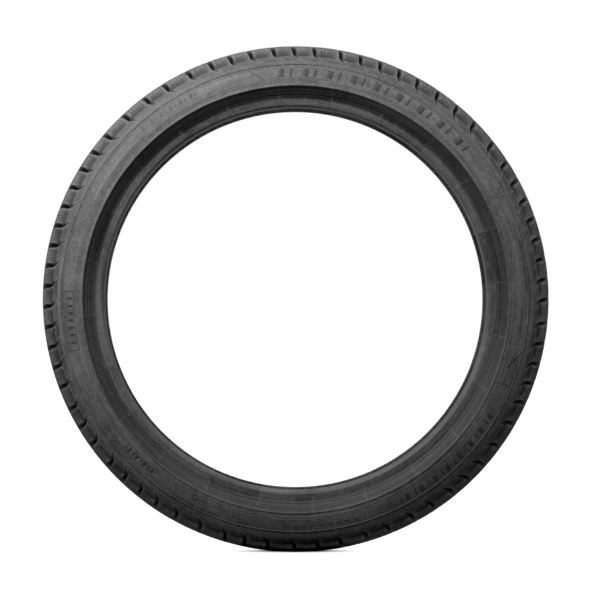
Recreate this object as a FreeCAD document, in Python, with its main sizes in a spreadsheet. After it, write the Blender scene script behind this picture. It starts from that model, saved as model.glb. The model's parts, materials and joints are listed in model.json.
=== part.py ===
import FreeCAD, Part
import math
import os
import Sketcher

# A low-profile radial winter tire for a passenger car, as its separate layers and rings.
#
# The origin is the centre of the tire and +Y is its axis, so the tire stands upright on its
# tread. The outboard side, the one that shows when the tire is on a car, faces -Y. Lengths
# are millimetres and angles are degrees. Every layer is a ring turned from a section drawn
# in the plane of the axis (across) and the upright radius (up). An angle in a section is
# taken from the upright towards the sidewall.

# ---------------------------------------------------------------- driving dimensions

DIMENSIONS = [
    ("outer_radius", 319.5, "centre of the tread, unmounted and without air"),
    ("crown_radius", 3600.0, "curve of the tread across its width, which is nearly flat"),
    ("shoulder_radius", 10.0, "rounded outer corner of the tread"),
    ("crown_end_angle", 1.4676, "where the crown curve meets that corner"),
    ("shoulder_end_angle", 66.8, "where that corner meets the flat flank of the blocks"),
    ("wing_foot_half", 107.6, "lower end of the flank, where the sidewall starts"),
    ("wing_foot_radius", 297.1, "distance of that end from the axis"),
    ("wing_top_share", 0.848, "upper edge of the tread wing, as a share of the flank"),
    ("liner_gauge", 1.2, "butyl inner liner"),
    ("tie_gauge", 1.0, "tie gum between liner and carcass"),
    ("ply_gauge", 1.2, "textile carcass ply"),
    ("belt_gauge", 1.3, "each steel belt"),
    ("cap_ply_gauge", 1.0, "nylon cap ply"),
    ("base_gauge", 2.0, "tread base"),
    ("cap_gauge", 8.6, "tread cap"),
    ("inner_belt_half", 90.5, "half width of the inner belt"),
    ("outer_belt_half", 84.5, "half width of the outer belt"),
    ("cap_ply_half", 80.0, "half width of the cap ply"),
    ("belt_package_half", 92.0, "half width of the whole belt package"),
    ("base_half", 84.0, "half width of the tread base at full thickness"),
    ("cavity_shoulder_radius", 20.0, "inner surface under the shoulder"),
    ("cavity_shoulder_angle", 1.325, "where the inner crown meets that curve"),
    ("cavity_side_radius", 22.0, "inner surface behind the sidewall"),
    ("cavity_side_angle", 75.0, "where the inner shoulder meets that curve"),
    ("cavity_foot_angle", 124.0, "where the inner side becomes a straight run"),
    ("cavity_run", 17.4, "straight run from there to the bead"),
    ("bundle_radius", 3.3, "envelope of the bead wires"),
    ("flipper_gauge", 0.8, "fabric wrapped under the bead wires"),
    ("flipper_leg", 7.0, "inner leg of that fabric"),
    ("flipper_share", 0.35, "outer leg of it, as a share of the apex side"),
    ("chipper_gauge", 0.7, "reinforcement outside the turned-up ply"),
    ("chipper_share", 0.7, "leg of it, as a share of the apex side"),
    ("wire_radius", 1.0, "each bead wire"),
    ("wire_pitch", 2.1, "centre to centre of the bead wires"),
    ("bead_top_angle", 304.0, "where the ply meets the bead on the inner side"),
    ("bead_out_angle", 100.0, "where the ply leaves the bead on the outer side"),
    ("apex_tail_gauge", 0.6, "thin upper part of the apex"),
    ("apex_tip_angle", 119.5, "where the apex thins into its tail"),
    ("strip_top_angle", 105.0, "upper tip of the rim strip"),
    ("turnup_end_angle", 80.0, "end of the turned-up ply"),
    ("cushion_start_angle", 10.0, "thin inner edge of the belt cushion"),
    ("cushion_end_angle", 43.0, "outer edge of the belt cushion"),
    ("heel_half", 104.0, "half width over the bead faces"),
    ("heel_radius", 4.5, "rounding of the bead heel"),
    ("bore_radius", 241.3, "cylindrical land of the bead, for a 19 inch rim"),
    ("land_inner_half", 90.0, "inner end of that land"),
    ("toe_half", 84.5, "tip of the bead toe"),
    ("toe_radius", 239.7, "distance of the toe tip from the axis"),
    ("toe_back_half", 84.0, "inner side of the toe"),
    ("toe_back_radius", 240.6, "top of the small flat on the toe"),
    ("split_angle", 195.0, "joint of rim strip and toe guard at the ply"),
    ("flange_start_radius", 251.0, "where the bead face curves out to the rim line"),
    ("flange_curve_radius", 9.4, "that curve, which follows the edge of a rim flange"),
    ("rim_line_half", 107.4, "rim line, the joint of rim strip and sidewall"),
    ("rim_line_radius", 258.6, "distance of the rim line from the axis"),
    ("hollow_radius", 34.0, "hollow between rim line and rim-protector rib"),
    ("rib_under_half", 114.6, "lower edge of the rib, where the hollow ends"),
    ("rib_under_radius", 269.6, "distance of that edge from the axis"),
    ("rib_tip_radius", 1.5, "rounded tip of the rim-protector rib"),
    ("rib_top_half", 114.9, "upper edge of the rib"),
    ("rib_top_radius", 272.3, "distance of that edge from the axis"),
    ("sidewall_radius", 90.0, "bulge of the sidewall"),
    ("groove_depth", 7.9, "depth of the tread pattern"),
    ("inner_groove_at", 19.0, "centre of each inner circumferential groove"),
    ("outer_groove_at", 54.0, "centre of each outer circumferential groove"),
    ("groove_mouth", 9.0, "width of a circumferential groove at the tread surface"),
    ("groove_floor", 6.4, "width of a circumferential groove at its bottom"),
    ("shoulder_slot_width", 6.0, "width of a lateral slot in the shoulders"),
    ("rib_slot_width", 3.6, "width of a lateral slot in the intermediate ribs"),
    ("rib_slot_depth", 6.6, "depth of a lateral slot in the intermediate ribs"),
    ("slot_ramp_half", 88.0, "where the floor of a shoulder slot turns to the flank"),
    ("slot_end_share", 0.795, "where that floor meets the flank, as a share of it"),
    ("slot_cut_share", 1.3, "end of the cut, as a share of the way to that point"),
    ("slot_pivot_half", 95.0, "place on a shoulder slot that its angle is given for"),
    ("shoulder_slant", 16.0, "turn of a shoulder slot out of the axial direction"),
    ("rib_slant", 32.0, "turn of an intermediate slot out of the axial direction"),
    ("short_pitch", 4.80, "short tread pitch, before the ring is closed"),
    ("middle_pitch", 5.50, "middle tread pitch"),
    ("long_pitch", 6.25, "long tread pitch"),
    ("first_slot_angle", 4.0, "first outboard shoulder slot, from the top"),
    ("row_shift", 2.4, "shift of each further row of slots around the tire"),
    ("cut_clearance", 2.0, "how far the outline of a cut stands out of the tread"),
]

# The order of short, middle and long pitches around the tread, which keeps it quiet
PITCH_ORDER = "LSSSSMMMLMSSSSSSSMSSSSMLMSSMMLMLMMLMSLLMSSSLSSMSSSSSSSSSSSSSLLMLMSSMSS"

# Wires along each side of the hexagonal bundle in a bead
WIRES_PER_SIDE = 2

# Arcs in the curved side of a belt cushion: a thin wedge needs a finely divided curve
CUSHION_ARCS = 6

# A cut of the tread that takes away a smaller share than this has missed it
LEAST_CUT = 0.001

document = FreeCAD.newDocument("tire")
sheet = document.addObject("Spreadsheet::Sheet", "Dims")
for row, (alias, number, meaning) in enumerate(DIMENSIONS, start=1):
    sheet.set(f"A{row}", alias.replace("_", " "))
    sheet.set(f"B{row}", str(number))
    sheet.set(f"C{row}", meaning)
    sheet.setAlias(f"B{row}", alias)
document.recompute()


# ------------------------------------------- sizes that carry their sheet expression


class Size:
    """A number together with the expression that works it out from the sheet."""

    def __init__(self, number, text):
        self.number = number
        self.text = text

    def __add__(self, other):
        other = as_size(other)
        return Size(self.number + other.number, f"({self.text} + {other.text})")

    def __sub__(self, other):
        other = as_size(other)
        return Size(self.number - other.number, f"({self.text} - {other.text})")

    def __mul__(self, other):
        other = as_size(other)
        return Size(self.number * other.number, f"{self.text} * {other.text}")

    def __neg__(self):
        return Size(-self.number, f"(0 - {self.text})")


def as_size(value):
    return value if isinstance(value, Size) else Size(float(value), repr(float(value)))


def dim(alias):
    return Size(float(sheet.get(alias)), f"Dims.{alias}")


def sine(angle):
    return Size(math.sin(math.radians(angle.number)), f"sin({angle.text} * 1 deg)")


def cosine(angle):
    return Size(math.cos(math.radians(angle.number)), f"cos({angle.text} * 1 deg)")


def root(square):
    return Size(math.sqrt(square.number), f"sqrt({square.text})")


class Spot:
    """A point of a section: across is along the axis and up is the radius."""

    def __init__(self, across, up):
        self.across = as_size(across)
        self.up = as_size(up)

    def vector(self):
        return FreeCAD.Vector(self.across.number, self.up.number, 0)

    def mirrored(self):
        return Spot(-self.across, self.up)


def polar(centre, radius, angle):
    """The point at that distance from a centre, in a direction taken from the upright."""
    radius = as_size(radius)
    return Spot(centre.across + radius * sine(angle), centre.up + radius * cosine(angle))


def between(start, end, share):
    """The point at a share of the way from start to end."""
    return Spot(
        start.across + share * (end.across - start.across),
        start.up + share * (end.up - start.up),
    )


class Line:
    """A straight edge to a point."""

    def __init__(self, end):
        self.end = end


class Arc:
    """A round edge of less than half a turn to a point, turning clockwise or not."""

    def __init__(self, end, radius, clockwise):
        self.end = end
        self.radius = as_size(radius)
        self.clockwise = clockwise

    def middle(self, start):
        """The point halfway along the edge, worked out from its ends and its radius."""
        first, last = start.vector(), self.end.vector()
        chord = last - first
        half = chord.Length / 2
        height = self.radius.number - math.sqrt(max(self.radius.number**2 - half**2, 0.0))
        left = FreeCAD.Vector(-chord.y, chord.x, 0).normalize()
        return (first + last) * 0.5 + left * (height if self.clockwise else -height)


def backwards(start, edges):
    """The same run of edges from its far end; returns the new start and the edges."""
    spots = [start] + [edge.end for edge in edges]
    turned = []
    for edge, end in zip(reversed(edges), reversed(spots[:-1])):
        if isinstance(edge, Arc):
            turned.append(Arc(end, edge.radius, not edge.clockwise))
        else:
            turned.append(Line(end))
    return spots[-1], turned


def mirrored_edges(edges):
    """The same run of edges on the other side of the tire's middle plane."""
    return [
        Arc(edge.end.mirrored(), edge.radius, not edge.clockwise)
        if isinstance(edge, Arc)
        else Line(edge.end.mirrored())
        for edge in edges
    ]


# -------------------------------------------------------------- points of the section

DOWN = Size(180.0, "180")

crown_centre = Spot(0.0, dim("outer_radius") - dim("crown_radius"))
shoulder_centre = polar(
    crown_centre, dim("crown_radius") - dim("shoulder_radius"), dim("crown_end_angle")
)

shoulder_end = polar(shoulder_centre, dim("shoulder_radius"), dim("shoulder_end_angle"))
wing_foot = Spot(dim("wing_foot_half"), dim("wing_foot_radius"))
wing_top = between(shoulder_end, wing_foot, dim("wing_top_share"))
slot_end = between(shoulder_end, wing_foot, dim("slot_end_share"))

# Heights of the layers above the inner surface of the tire
LINER = Size(0.0, "0")
TIE = dim("liner_gauge")
PLY = TIE + dim("tie_gauge")
INNER_BELT = PLY + dim("ply_gauge")
OUTER_BELT = INNER_BELT + dim("belt_gauge")
CAP_PLY = OUTER_BELT + dim("belt_gauge")
BASE = CAP_PLY + dim("cap_ply_gauge")
CAP = BASE + dim("base_gauge")
SURFACE = CAP + dim("cap_gauge")

cavity_crown = dim("crown_radius") - SURFACE
inner_shoulder = polar(
    crown_centre,
    cavity_crown - dim("cavity_shoulder_radius"),
    dim("cavity_shoulder_angle"),
)
inner_side = polar(
    inner_shoulder,
    dim("cavity_shoulder_radius") - dim("cavity_side_radius"),
    dim("cavity_side_angle"),
)
foot_angle = dim("cavity_foot_angle")
run_across = -cosine(foot_angle)
run_up = sine(foot_angle)

# Radii about the bead wires, and about inner_side, for the layers wrapped there
FLIPPER_OUT = dim("bundle_radius") + dim("flipper_gauge")
PLY_OUT = FLIPPER_OUT + dim("ply_gauge")
CHIPPER_OUT = PLY_OUT + dim("chipper_gauge")
CASING_FACE = dim("cavity_side_radius") + INNER_BELT
TURNUP_IN = CASING_FACE + dim("apex_tail_gauge")
TURNUP_OUT = TURNUP_IN + dim("ply_gauge")


def run_foot(height):
    """Lower end of the straight run of the layer at that height."""
    top = polar(inner_side, dim("cavity_side_radius") + height, foot_angle)
    return Spot(
        top.across - run_across * dim("cavity_run"), top.up - run_up * dim("cavity_run")
    )


bead_centre = polar(run_foot(LINER), PLY + PLY_OUT, foot_angle)
rim_line = Spot(dim("rim_line_half"), dim("rim_line_radius"))


def on_crown(height, half):
    """The point of a crown layer at that distance from the middle plane."""
    radius = cavity_crown + height
    return Spot(half, crown_centre.up + root(radius * radius - half * half))


def around_bead(radius, alias):
    return polar(bead_centre, radius, dim(alias))


def under_bead(radius):
    return polar(bead_centre, radius, DOWN)


def apex_side(radius_at_bead, radius_at_tip, share):
    """A point on the outer side of the apex, a share of the way to its tip."""
    low = around_bead(radius_at_bead, "bead_out_angle")
    high = polar(inner_side, radius_at_tip, dim("apex_tip_angle"))
    return between(low, high, share)


def casing_edges(height):
    """The inner path of a layer, from the end of the crown down to the bead."""
    shoulder = dim("cavity_shoulder_radius") + height
    side = dim("cavity_side_radius") + height
    start = polar(inner_shoulder, shoulder, dim("cavity_shoulder_angle"))
    edges = [
        Arc(polar(inner_shoulder, shoulder, dim("cavity_side_angle")), shoulder, True),
        Arc(polar(inner_side, side, foot_angle), side, True),
        Line(run_foot(height)),
    ]
    return start, edges


# --------------------------------------------------------------------- making bodies


def origin_plane(body, role):
    return next(item for item in body.Origin.OriginFeatures if item.Role == role)


def section_sketch(body, name):
    """A sketch across the tire: its x runs along the axis and its y is the radius."""
    sketch = body.newObject("Sketcher::SketchObject", name)
    sketch.AttachmentSupport = [(origin_plane(body, "YZ_Plane"), "")]
    sketch.MapMode = "FlatFace"
    return sketch


def bind(sketch, constraint, size):
    index = sketch.addConstraint(constraint)
    sketch.setExpression(f"Constraints[{index}]", size.text)


def draw_outline(sketch, start, edges):
    """Draw a closed outline and tie each of its corners and radii to the sheet."""
    first = sketch.GeometryCount
    here = start
    for edge in edges:
        if isinstance(edge, Arc):
            curve = Part.Arc(here.vector(), edge.middle(here), edge.end.vector())
        else:
            curve = Part.LineSegment(here.vector(), edge.end.vector())
        sketch.addGeometry(curve, False)
        here = edge.end
    # A sketch keeps every arc counterclockwise, so a clockwise one starts at its end
    tail = [1 if isinstance(edge, Arc) and edge.clockwise else 2 for edge in edges]
    head = [3 - point for point in tail]
    here = start
    for step, edge in enumerate(edges):
        after = (step + 1) % len(edges)
        curve = first + step
        sketch.addConstraint(
            Sketcher.Constraint("Coincident", curve, tail[step], first + after, head[after])
        )
        across = Sketcher.Constraint(
            "DistanceX", -1, 1, curve, head[step], here.across.number
        )
        up = Sketcher.Constraint("DistanceY", -1, 1, curve, head[step], here.up.number)
        bind(sketch, across, here.across)
        bind(sketch, up, here.up)
        if isinstance(edge, Arc):
            radius = Sketcher.Constraint("Radius", curve, edge.radius.number)
            bind(sketch, radius, edge.radius)
        here = edge.end


def ring(label, start, edges, outboard=False):
    """A body turned about the tire's axis from a closed outline.

    The outline is drawn on the inboard side. An outboard ring is the same one, turned
    half a turn about the upright.
    """
    body = document.addObject("PartDesign::Body", label)
    sketch = section_sketch(body, label + "_section")
    draw_outline(sketch, start, edges)
    turned = body.newObject("PartDesign::Revolution", label + "_turned")
    turned.Profile = sketch
    turned.ReferenceAxis = (sketch, ["H_Axis"])
    turned.Angle = 360
    body.Tip = turned
    if outboard:
        upright = FreeCAD.Vector(0, 0, 1)
        body.Placement = FreeCAD.Placement(
            FreeCAD.Vector(0, 0, 0), FreeCAD.Rotation(upright, 180)
        )
    return body


def ring_pair(label, start, edges):
    return [
        ring(label + "_outboard", start, edges, outboard=True),
        ring(label + "_inboard", start, edges),
    ]


def full_width(label, top_start, top_arc, side_edges):
    """A body across the whole tire.

    top_arc is the outer crown edge, which ends where side_edges start. Those go out to
    the layer's edge and come back on its inner face, and the inner crown edge closes it.
    """
    inner_end = side_edges[-1].end
    under_radius = top_arc[1]
    _, back = backwards(top_start, side_edges)
    edges = [Arc(top_start, top_arc[0], True)] + side_edges
    edges.append(Arc(inner_end.mirrored(), under_radius, False))
    edges += mirrored_edges(back)
    return ring(label, top_start.mirrored(), edges)


# ------------------------------------------------------------------ crown of the tire


def crown_layer(label, low, high, half):
    """A flat band of the belt package, with square ends."""
    corner = on_crown(high, half)
    radii = (cavity_crown + high, cavity_crown + low)
    return full_width(label, corner, radii, [Line(on_crown(low, half))])


def belts():
    return [
        crown_layer("belt_inner", INNER_BELT, OUTER_BELT, dim("inner_belt_half")),
        crown_layer("belt_outer", OUTER_BELT, CAP_PLY, dim("outer_belt_half")),
        crown_layer("cap_ply", CAP_PLY, BASE, dim("cap_ply_half")),
    ]


def cap_edge_strips():
    """Narrow nylon strips wound over the belt edges, beside the cap ply."""
    inner, outer = dim("cap_ply_half"), dim("belt_package_half")
    start = on_crown(BASE, inner)
    edges = [
        Arc(on_crown(BASE, outer), cavity_crown + BASE, True),
        Line(on_crown(CAP_PLY, outer)),
        Arc(on_crown(CAP_PLY, inner), cavity_crown + CAP_PLY, False),
        Line(start),
    ]
    return ring_pair("cap_edge_strip", start, edges)


def belt_edge_gums():
    """Gum that covers the cut edges of both belts, stepped like them."""
    package = dim("belt_package_half")
    outer_edge, inner_edge = dim("outer_belt_half"), dim("inner_belt_half")
    start = on_crown(CAP_PLY, outer_edge)
    edges = [
        Arc(on_crown(CAP_PLY, package), cavity_crown + CAP_PLY, True),
        Line(on_crown(INNER_BELT, package)),
        Arc(on_crown(INNER_BELT, inner_edge), cavity_crown + INNER_BELT, False),
        Line(on_crown(OUTER_BELT, inner_edge)),
        Arc(on_crown(OUTER_BELT, outer_edge), cavity_crown + OUTER_BELT, False),
        Line(start),
    ]
    return ring_pair("belt_edge_gum", start, edges)


def cushion_underside(radius):
    """The curved side of a belt cushion against the carcass, inwards in short arcs."""
    outer, inner = dim("cushion_end_angle"), dim("cushion_start_angle")
    arcs = []
    for step in range(1, CUSHION_ARCS + 1):
        share = Size(step / CUSHION_ARCS, f"{step} / {CUSHION_ARCS}")
        angle = outer + (inner - outer) * share
        arcs.append(Arc(polar(inner_shoulder, radius, angle), radius, False))
    return arcs


def belt_cushions():
    """Wedges that fill the space between the flat belts and the falling carcass."""
    radius = dim("cavity_shoulder_radius") + INNER_BELT
    thin_low = polar(inner_shoulder, radius, dim("cushion_start_angle"))
    thin_high = on_crown(INNER_BELT, thin_low.across)
    edges = [
        Arc(
            on_crown(INNER_BELT, dim("belt_package_half")),
            cavity_crown + INNER_BELT,
            True,
        ),
        Line(polar(inner_shoulder, radius, dim("cushion_end_angle"))),
        *cushion_underside(radius),
        Line(thin_high),
    ]
    return ring_pair("belt_cushion", thin_high, edges)


def tread_base():
    corner = on_crown(CAP, dim("base_half"))
    radii = (cavity_crown + CAP, cavity_crown + BASE)
    side = [Line(on_crown(BASE, dim("belt_package_half")))]
    return full_width("tread_base", corner, radii, side)


def tread_wings():
    """Triangular strips that join the edges of the tread to the sidewalls."""
    start = on_crown(BASE, dim("belt_package_half"))
    edges = [
        Line(wing_top),
        Line(wing_foot),
        Line(on_crown(INNER_BELT, dim("belt_package_half"))),
        Line(start),
    ]
    return ring_pair("tread_wing", start, edges)


# ----------------------------------------------------------------------- the tread cap


def tread_blank():
    """The tread cap before the pattern is cut."""
    corner = polar(crown_centre, dim("crown_radius"), dim("crown_end_angle"))
    side = [
        Arc(shoulder_end, dim("shoulder_radius"), True),
        Line(wing_top),
        Line(on_crown(BASE, dim("belt_package_half"))),
        Line(on_crown(CAP, dim("base_half"))),
    ]
    return full_width("tread_cap", corner, (dim("crown_radius"), cavity_crown + CAP), side)


def cut_circumferential_grooves(body):
    """Four grooves around the tread, narrower at their floor than at their mouth."""
    sketch = section_sketch(body, "circumferential_grooves")
    floor_radius = cavity_crown + SURFACE - dim("groove_depth")
    above = dim("cut_clearance")
    for place in (dim("inner_groove_at"), dim("outer_groove_at")):
        for centre in (place, -place):
            left_top = centre - dim("groove_mouth") * 0.5
            right_top = centre + dim("groove_mouth") * 0.5
            left_floor = centre - dim("groove_floor") * 0.5
            right_floor = centre + dim("groove_floor") * 0.5
            low = -dim("groove_depth") + SURFACE
            start = Spot(left_top, on_crown(SURFACE, left_top).up + above)
            edges = [
                Line(Spot(right_top, on_crown(SURFACE, right_top).up + above)),
                Line(on_crown(low, right_floor)),
                Arc(on_crown(low, left_floor), floor_radius, False),
                Line(start),
            ]
            draw_outline(sketch, start, edges)
    groove = body.newObject("PartDesign::Groove", "circumferential_groove_cut")
    groove.Profile = sketch
    groove.ReferenceAxis = (sketch, ["H_Axis"])
    groove.Angle = 360
    body.Tip = groove


def pitch_angles():
    """The angle of each tread pitch, closed to a full turn."""
    length = {
        "S": dim("short_pitch").number,
        "M": dim("middle_pitch").number,
        "L": dim("long_pitch").number,
    }
    raw = [length[kind] for kind in PITCH_ORDER]
    return [angle * 360 / sum(raw) for angle in raw]


def slot_placement(start_angle, slant, pivot_across):
    """Turn a section about the axis to its first place, and slant it about its pivot."""
    zero = FreeCAD.Vector(0, 0, 0)
    around = FreeCAD.Rotation(FreeCAD.Vector(1, 0, 0), start_angle)
    tilt = FreeCAD.Rotation(FreeCAD.Vector(0, 1, 0), slant)
    pivot = FreeCAD.Vector(pivot_across, 0, 0)
    return FreeCAD.Placement(zero, around) * FreeCAD.Placement(zero, tilt, pivot)


def cut_slot_row(body, label, outline, width, placement):
    """One lateral slot through a row of blocks, repeated at the pitches of the tread."""
    sketch = section_sketch(body, label + "_section")
    sketch.AttachmentOffset = placement
    draw_outline(sketch, *outline)
    pocket = body.newObject("PartDesign::Pocket", label + "_first")
    pocket.Profile = sketch
    pocket.Midplane = True
    pocket.setExpression("Length", f"Dims.{width}")
    pattern = body.newObject("PartDesign::PolarPattern", label + "_row")
    pattern.Originals = [pocket]
    pattern.Axis = (sketch_of_blank(body), ["H_Axis"])
    pattern.Mode = "Spacing"
    pattern.Occurrences = len(PITCH_ORDER)
    pattern.Spacings = pitch_angles()[:-1]
    pattern.Refine = False
    body.Tip = pattern


def sketch_of_blank(body):
    return document.getObject(body.Name + "_section")


def shoulder_slot_outline(side):
    """From inside the outer groove to the shoulder face, with a floor that rises there."""
    low = SURFACE - dim("groove_depth")
    floor_radius = cavity_crown + low
    over = dim("outer_radius") + dim("cut_clearance")
    inner = Spot(dim("outer_groove_at"), over)
    ramp = on_crown(low, dim("slot_ramp_half"))
    outside = between(ramp, slot_end, dim("slot_cut_share"))
    edges = [
        Line(Spot(outside.across, over)),
        Line(outside),
        Line(ramp),
        Arc(on_crown(low, dim("outer_groove_at")), floor_radius, False),
        Line(inner),
    ]
    if side > 0:
        return inner, edges
    return inner.mirrored(), mirrored_edges(edges)


def rib_slot_outline(side):
    """Across an intermediate rib, from one circumferential groove to the next."""
    low = SURFACE - dim("rib_slot_depth")
    floor_radius = cavity_crown + low
    over = dim("outer_radius") + dim("cut_clearance")
    inner = Spot(dim("inner_groove_at"), over)
    edges = [
        Line(Spot(dim("outer_groove_at"), over)),
        Line(on_crown(low, dim("outer_groove_at"))),
        Arc(on_crown(low, dim("inner_groove_at")), floor_radius, False),
        Line(inner),
    ]
    if side > 0:
        return inner, edges
    return inner.mirrored(), mirrored_edges(edges)


def tread_cap():
    body = tread_blank()
    cut_circumferential_grooves(body)
    start = dim("first_slot_angle").number
    shift = dim("row_shift").number
    slant = dim("shoulder_slant").number
    rib_slant = dim("rib_slant").number
    pivot = dim("slot_pivot_half").number
    rib_pivot = ((dim("inner_groove_at") + dim("outer_groove_at")) * 0.5).number
    rows = [
        ("outboard_shoulder_slot", shoulder_slot_outline(-1), "shoulder_slot_width",
         slot_placement(start, slant, -pivot)),
        ("outboard_rib_slot", rib_slot_outline(-1), "rib_slot_width",
         slot_placement(start + shift, -rib_slant, -rib_pivot)),
        ("inboard_rib_slot", rib_slot_outline(1), "rib_slot_width",
         slot_placement(start - shift, -rib_slant, rib_pivot)),
        ("inboard_shoulder_slot", shoulder_slot_outline(1), "shoulder_slot_width",
         slot_placement(start + 2 * shift, slant, pivot)),
    ]
    for label, outline, width, placement in rows:
        cut_slot_row(body, label, outline, width, placement)
    return body


# --------------------------------------------------------------------- casing layers


def lining_layer(label, low, high):
    """A layer inside the carcass, from bead to bead."""
    start, out_edges = casing_edges(high)
    low_start, low_edges = casing_edges(low)
    low_end, back_edges = backwards(low_start, low_edges)
    side = out_edges + [Line(low_end)] + back_edges
    return full_width(label, start, (cavity_crown + high, cavity_crown + low), side)


def carcass_ply():
    """The ply runs from bead to bead, goes under the wires and turns up outside them."""
    inner_start, inner_edges = casing_edges(PLY)
    outer_start, outer_edges = casing_edges(INNER_BELT)
    end_angle = dim("turnup_end_angle")
    around_inside = [
        Arc(under_bead(FLIPPER_OUT), FLIPPER_OUT, False),
        Arc(around_bead(FLIPPER_OUT, "bead_out_angle"), FLIPPER_OUT, False),
        Line(apex_side(FLIPPER_OUT, TURNUP_IN, as_size(1.0))),
        Arc(polar(inner_side, TURNUP_IN, end_angle), TURNUP_IN, False),
        Line(polar(inner_side, TURNUP_OUT, end_angle)),
        Arc(apex_side(PLY_OUT, TURNUP_OUT, as_size(1.0)), TURNUP_OUT, True),
        Line(around_bead(PLY_OUT, "bead_out_angle")),
        Arc(under_bead(PLY_OUT), PLY_OUT, True),
        Arc(around_bead(PLY_OUT, "bead_top_angle"), PLY_OUT, True),
    ]
    _, back = backwards(inner_start, inner_edges)
    side = outer_edges + around_inside + back
    return full_width(
        "carcass_ply", outer_start, (cavity_crown + INNER_BELT, cavity_crown + PLY), side
    )


# ---------------------------------------------------------------------- the two beads


def bead_apexes():
    """Hard rubber wedges on the bead wires, thinned to a tail between the plies."""
    bundle = dim("bundle_radius")
    share = dim("flipper_share")
    leg = dim("flipper_leg")
    end_angle = dim("turnup_end_angle")
    inner_low = around_bead(bundle, "bead_top_angle")
    outer_low = around_bead(FLIPPER_OUT, "bead_top_angle")
    leg_in = Spot(inner_low.across + run_across * leg, inner_low.up + run_up * leg)
    leg_out = Spot(outer_low.across + run_across * leg, outer_low.up + run_up * leg)
    edges = [
        Arc(around_bead(bundle, "bead_out_angle"), bundle, True),
        Line(apex_side(bundle, CASING_FACE, share)),
        Line(apex_side(FLIPPER_OUT, TURNUP_IN, share)),
        Line(apex_side(FLIPPER_OUT, TURNUP_IN, as_size(1.0))),
        Arc(polar(inner_side, TURNUP_IN, end_angle), TURNUP_IN, False),
        Line(polar(inner_side, CASING_FACE, end_angle)),
        Arc(polar(inner_side, CASING_FACE, foot_angle), CASING_FACE, True),
        Line(leg_out),
        Line(leg_in),
        Line(inner_low),
    ]
    return ring_pair("bead_apex", inner_low, edges)


def bead_flippers():
    """Fabric that wraps the bead wires from below, with a leg on each side of the apex."""
    bundle = dim("bundle_radius")
    share = dim("flipper_share")
    leg = dim("flipper_leg")
    outer_low = around_bead(FLIPPER_OUT, "bead_top_angle")
    inner_low = around_bead(bundle, "bead_top_angle")
    start = Spot(outer_low.across + run_across * leg, outer_low.up + run_up * leg)
    edges = [
        Line(outer_low),
        Arc(under_bead(FLIPPER_OUT), FLIPPER_OUT, False),
        Arc(around_bead(FLIPPER_OUT, "bead_out_angle"), FLIPPER_OUT, False),
        Line(apex_side(FLIPPER_OUT, TURNUP_IN, share)),
        Line(apex_side(bundle, CASING_FACE, share)),
        Line(around_bead(bundle, "bead_out_angle")),
        Arc(under_bead(bundle), bundle, True),
        Arc(inner_low, bundle, True),
        Line(Spot(inner_low.across + run_across * leg, inner_low.up + run_up * leg)),
        Line(start),
    ]
    return ring_pair("bead_flipper", start, edges)


def chipper_leg(outer):
    """Outer or inner corner at the upper end of the chipper."""
    share = dim("chipper_share")
    if outer:
        return apex_side(CHIPPER_OUT, TURNUP_OUT + dim("chipper_gauge"), share)
    return apex_side(PLY_OUT, TURNUP_OUT, share)


def bead_chippers():
    """Reinforcement between the turned-up ply and the rim strip."""
    start = under_bead(CHIPPER_OUT)
    edges = [
        Arc(around_bead(CHIPPER_OUT, "bead_out_angle"), CHIPPER_OUT, False),
        Line(chipper_leg(True)),
        Line(chipper_leg(False)),
        Line(around_bead(PLY_OUT, "bead_out_angle")),
        Arc(under_bead(PLY_OUT), PLY_OUT, True),
        Line(start),
    ]
    return ring_pair("bead_chipper", start, edges)


def bead_wires(label, side):
    """Steel wires in a hexagonal bundle, each a closed hoop."""
    hoops = []
    for level in range(1 - WIRES_PER_SIDE, WIRES_PER_SIDE):
        count = 2 * WIRES_PER_SIDE - 1 - abs(level)
        for place in range(count):
            hoop = document.addObject("Part::Torus", f"{label}_wire_{len(hoops) + 1}")
            up = bead_centre.up + dim("wire_pitch") * (level * math.sqrt(3) / 2)
            across = bead_centre.across + dim("wire_pitch") * (place - (count - 1) / 2)
            hoop.setExpression("Radius1", up.text)
            hoop.setExpression("Radius2", "Dims.wire_radius")
            hoop.Placement = FreeCAD.Placement(
                FreeCAD.Vector(0, side * across.number, 0),
                FreeCAD.Rotation(FreeCAD.Vector(1, 0, 0), 90),
            )
            hoop.setExpression("Placement.Base.y", f"{side} * {across.text}")
            hoops.append(hoop)
    bundle = document.addObject("Part::Compound", label)
    bundle.Links = hoops
    return bundle


def rim_strips():
    """Hard rubber over the bead face, the heel and the cylindrical land on the rim."""
    face_top = Spot(dim("heel_half"), dim("flange_start_radius"))
    heel_top = Spot(dim("heel_half"), dim("bore_radius") + dim("heel_radius"))
    land_start = Spot(dim("heel_half") - dim("heel_radius"), dim("bore_radius"))
    edges = [
        Arc(face_top, dim("flange_curve_radius"), False),
        Line(heel_top),
        Arc(land_start, dim("heel_radius"), True),
        Line(Spot(dim("land_inner_half"), dim("bore_radius"))),
        Line(around_bead(PLY_OUT, "split_angle")),
        Arc(under_bead(PLY_OUT), PLY_OUT, False),
        Line(under_bead(CHIPPER_OUT)),
        Arc(around_bead(CHIPPER_OUT, "bead_out_angle"), CHIPPER_OUT, False),
        Line(chipper_leg(True)),
        Line(chipper_leg(False)),
        Line(apex_side(PLY_OUT, TURNUP_OUT, as_size(1.0))),
        Arc(polar(inner_side, TURNUP_OUT, dim("strip_top_angle")), TURNUP_OUT, False),
        Line(rim_line),
    ]
    return ring_pair("rim_strip", rim_line, edges)


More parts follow.
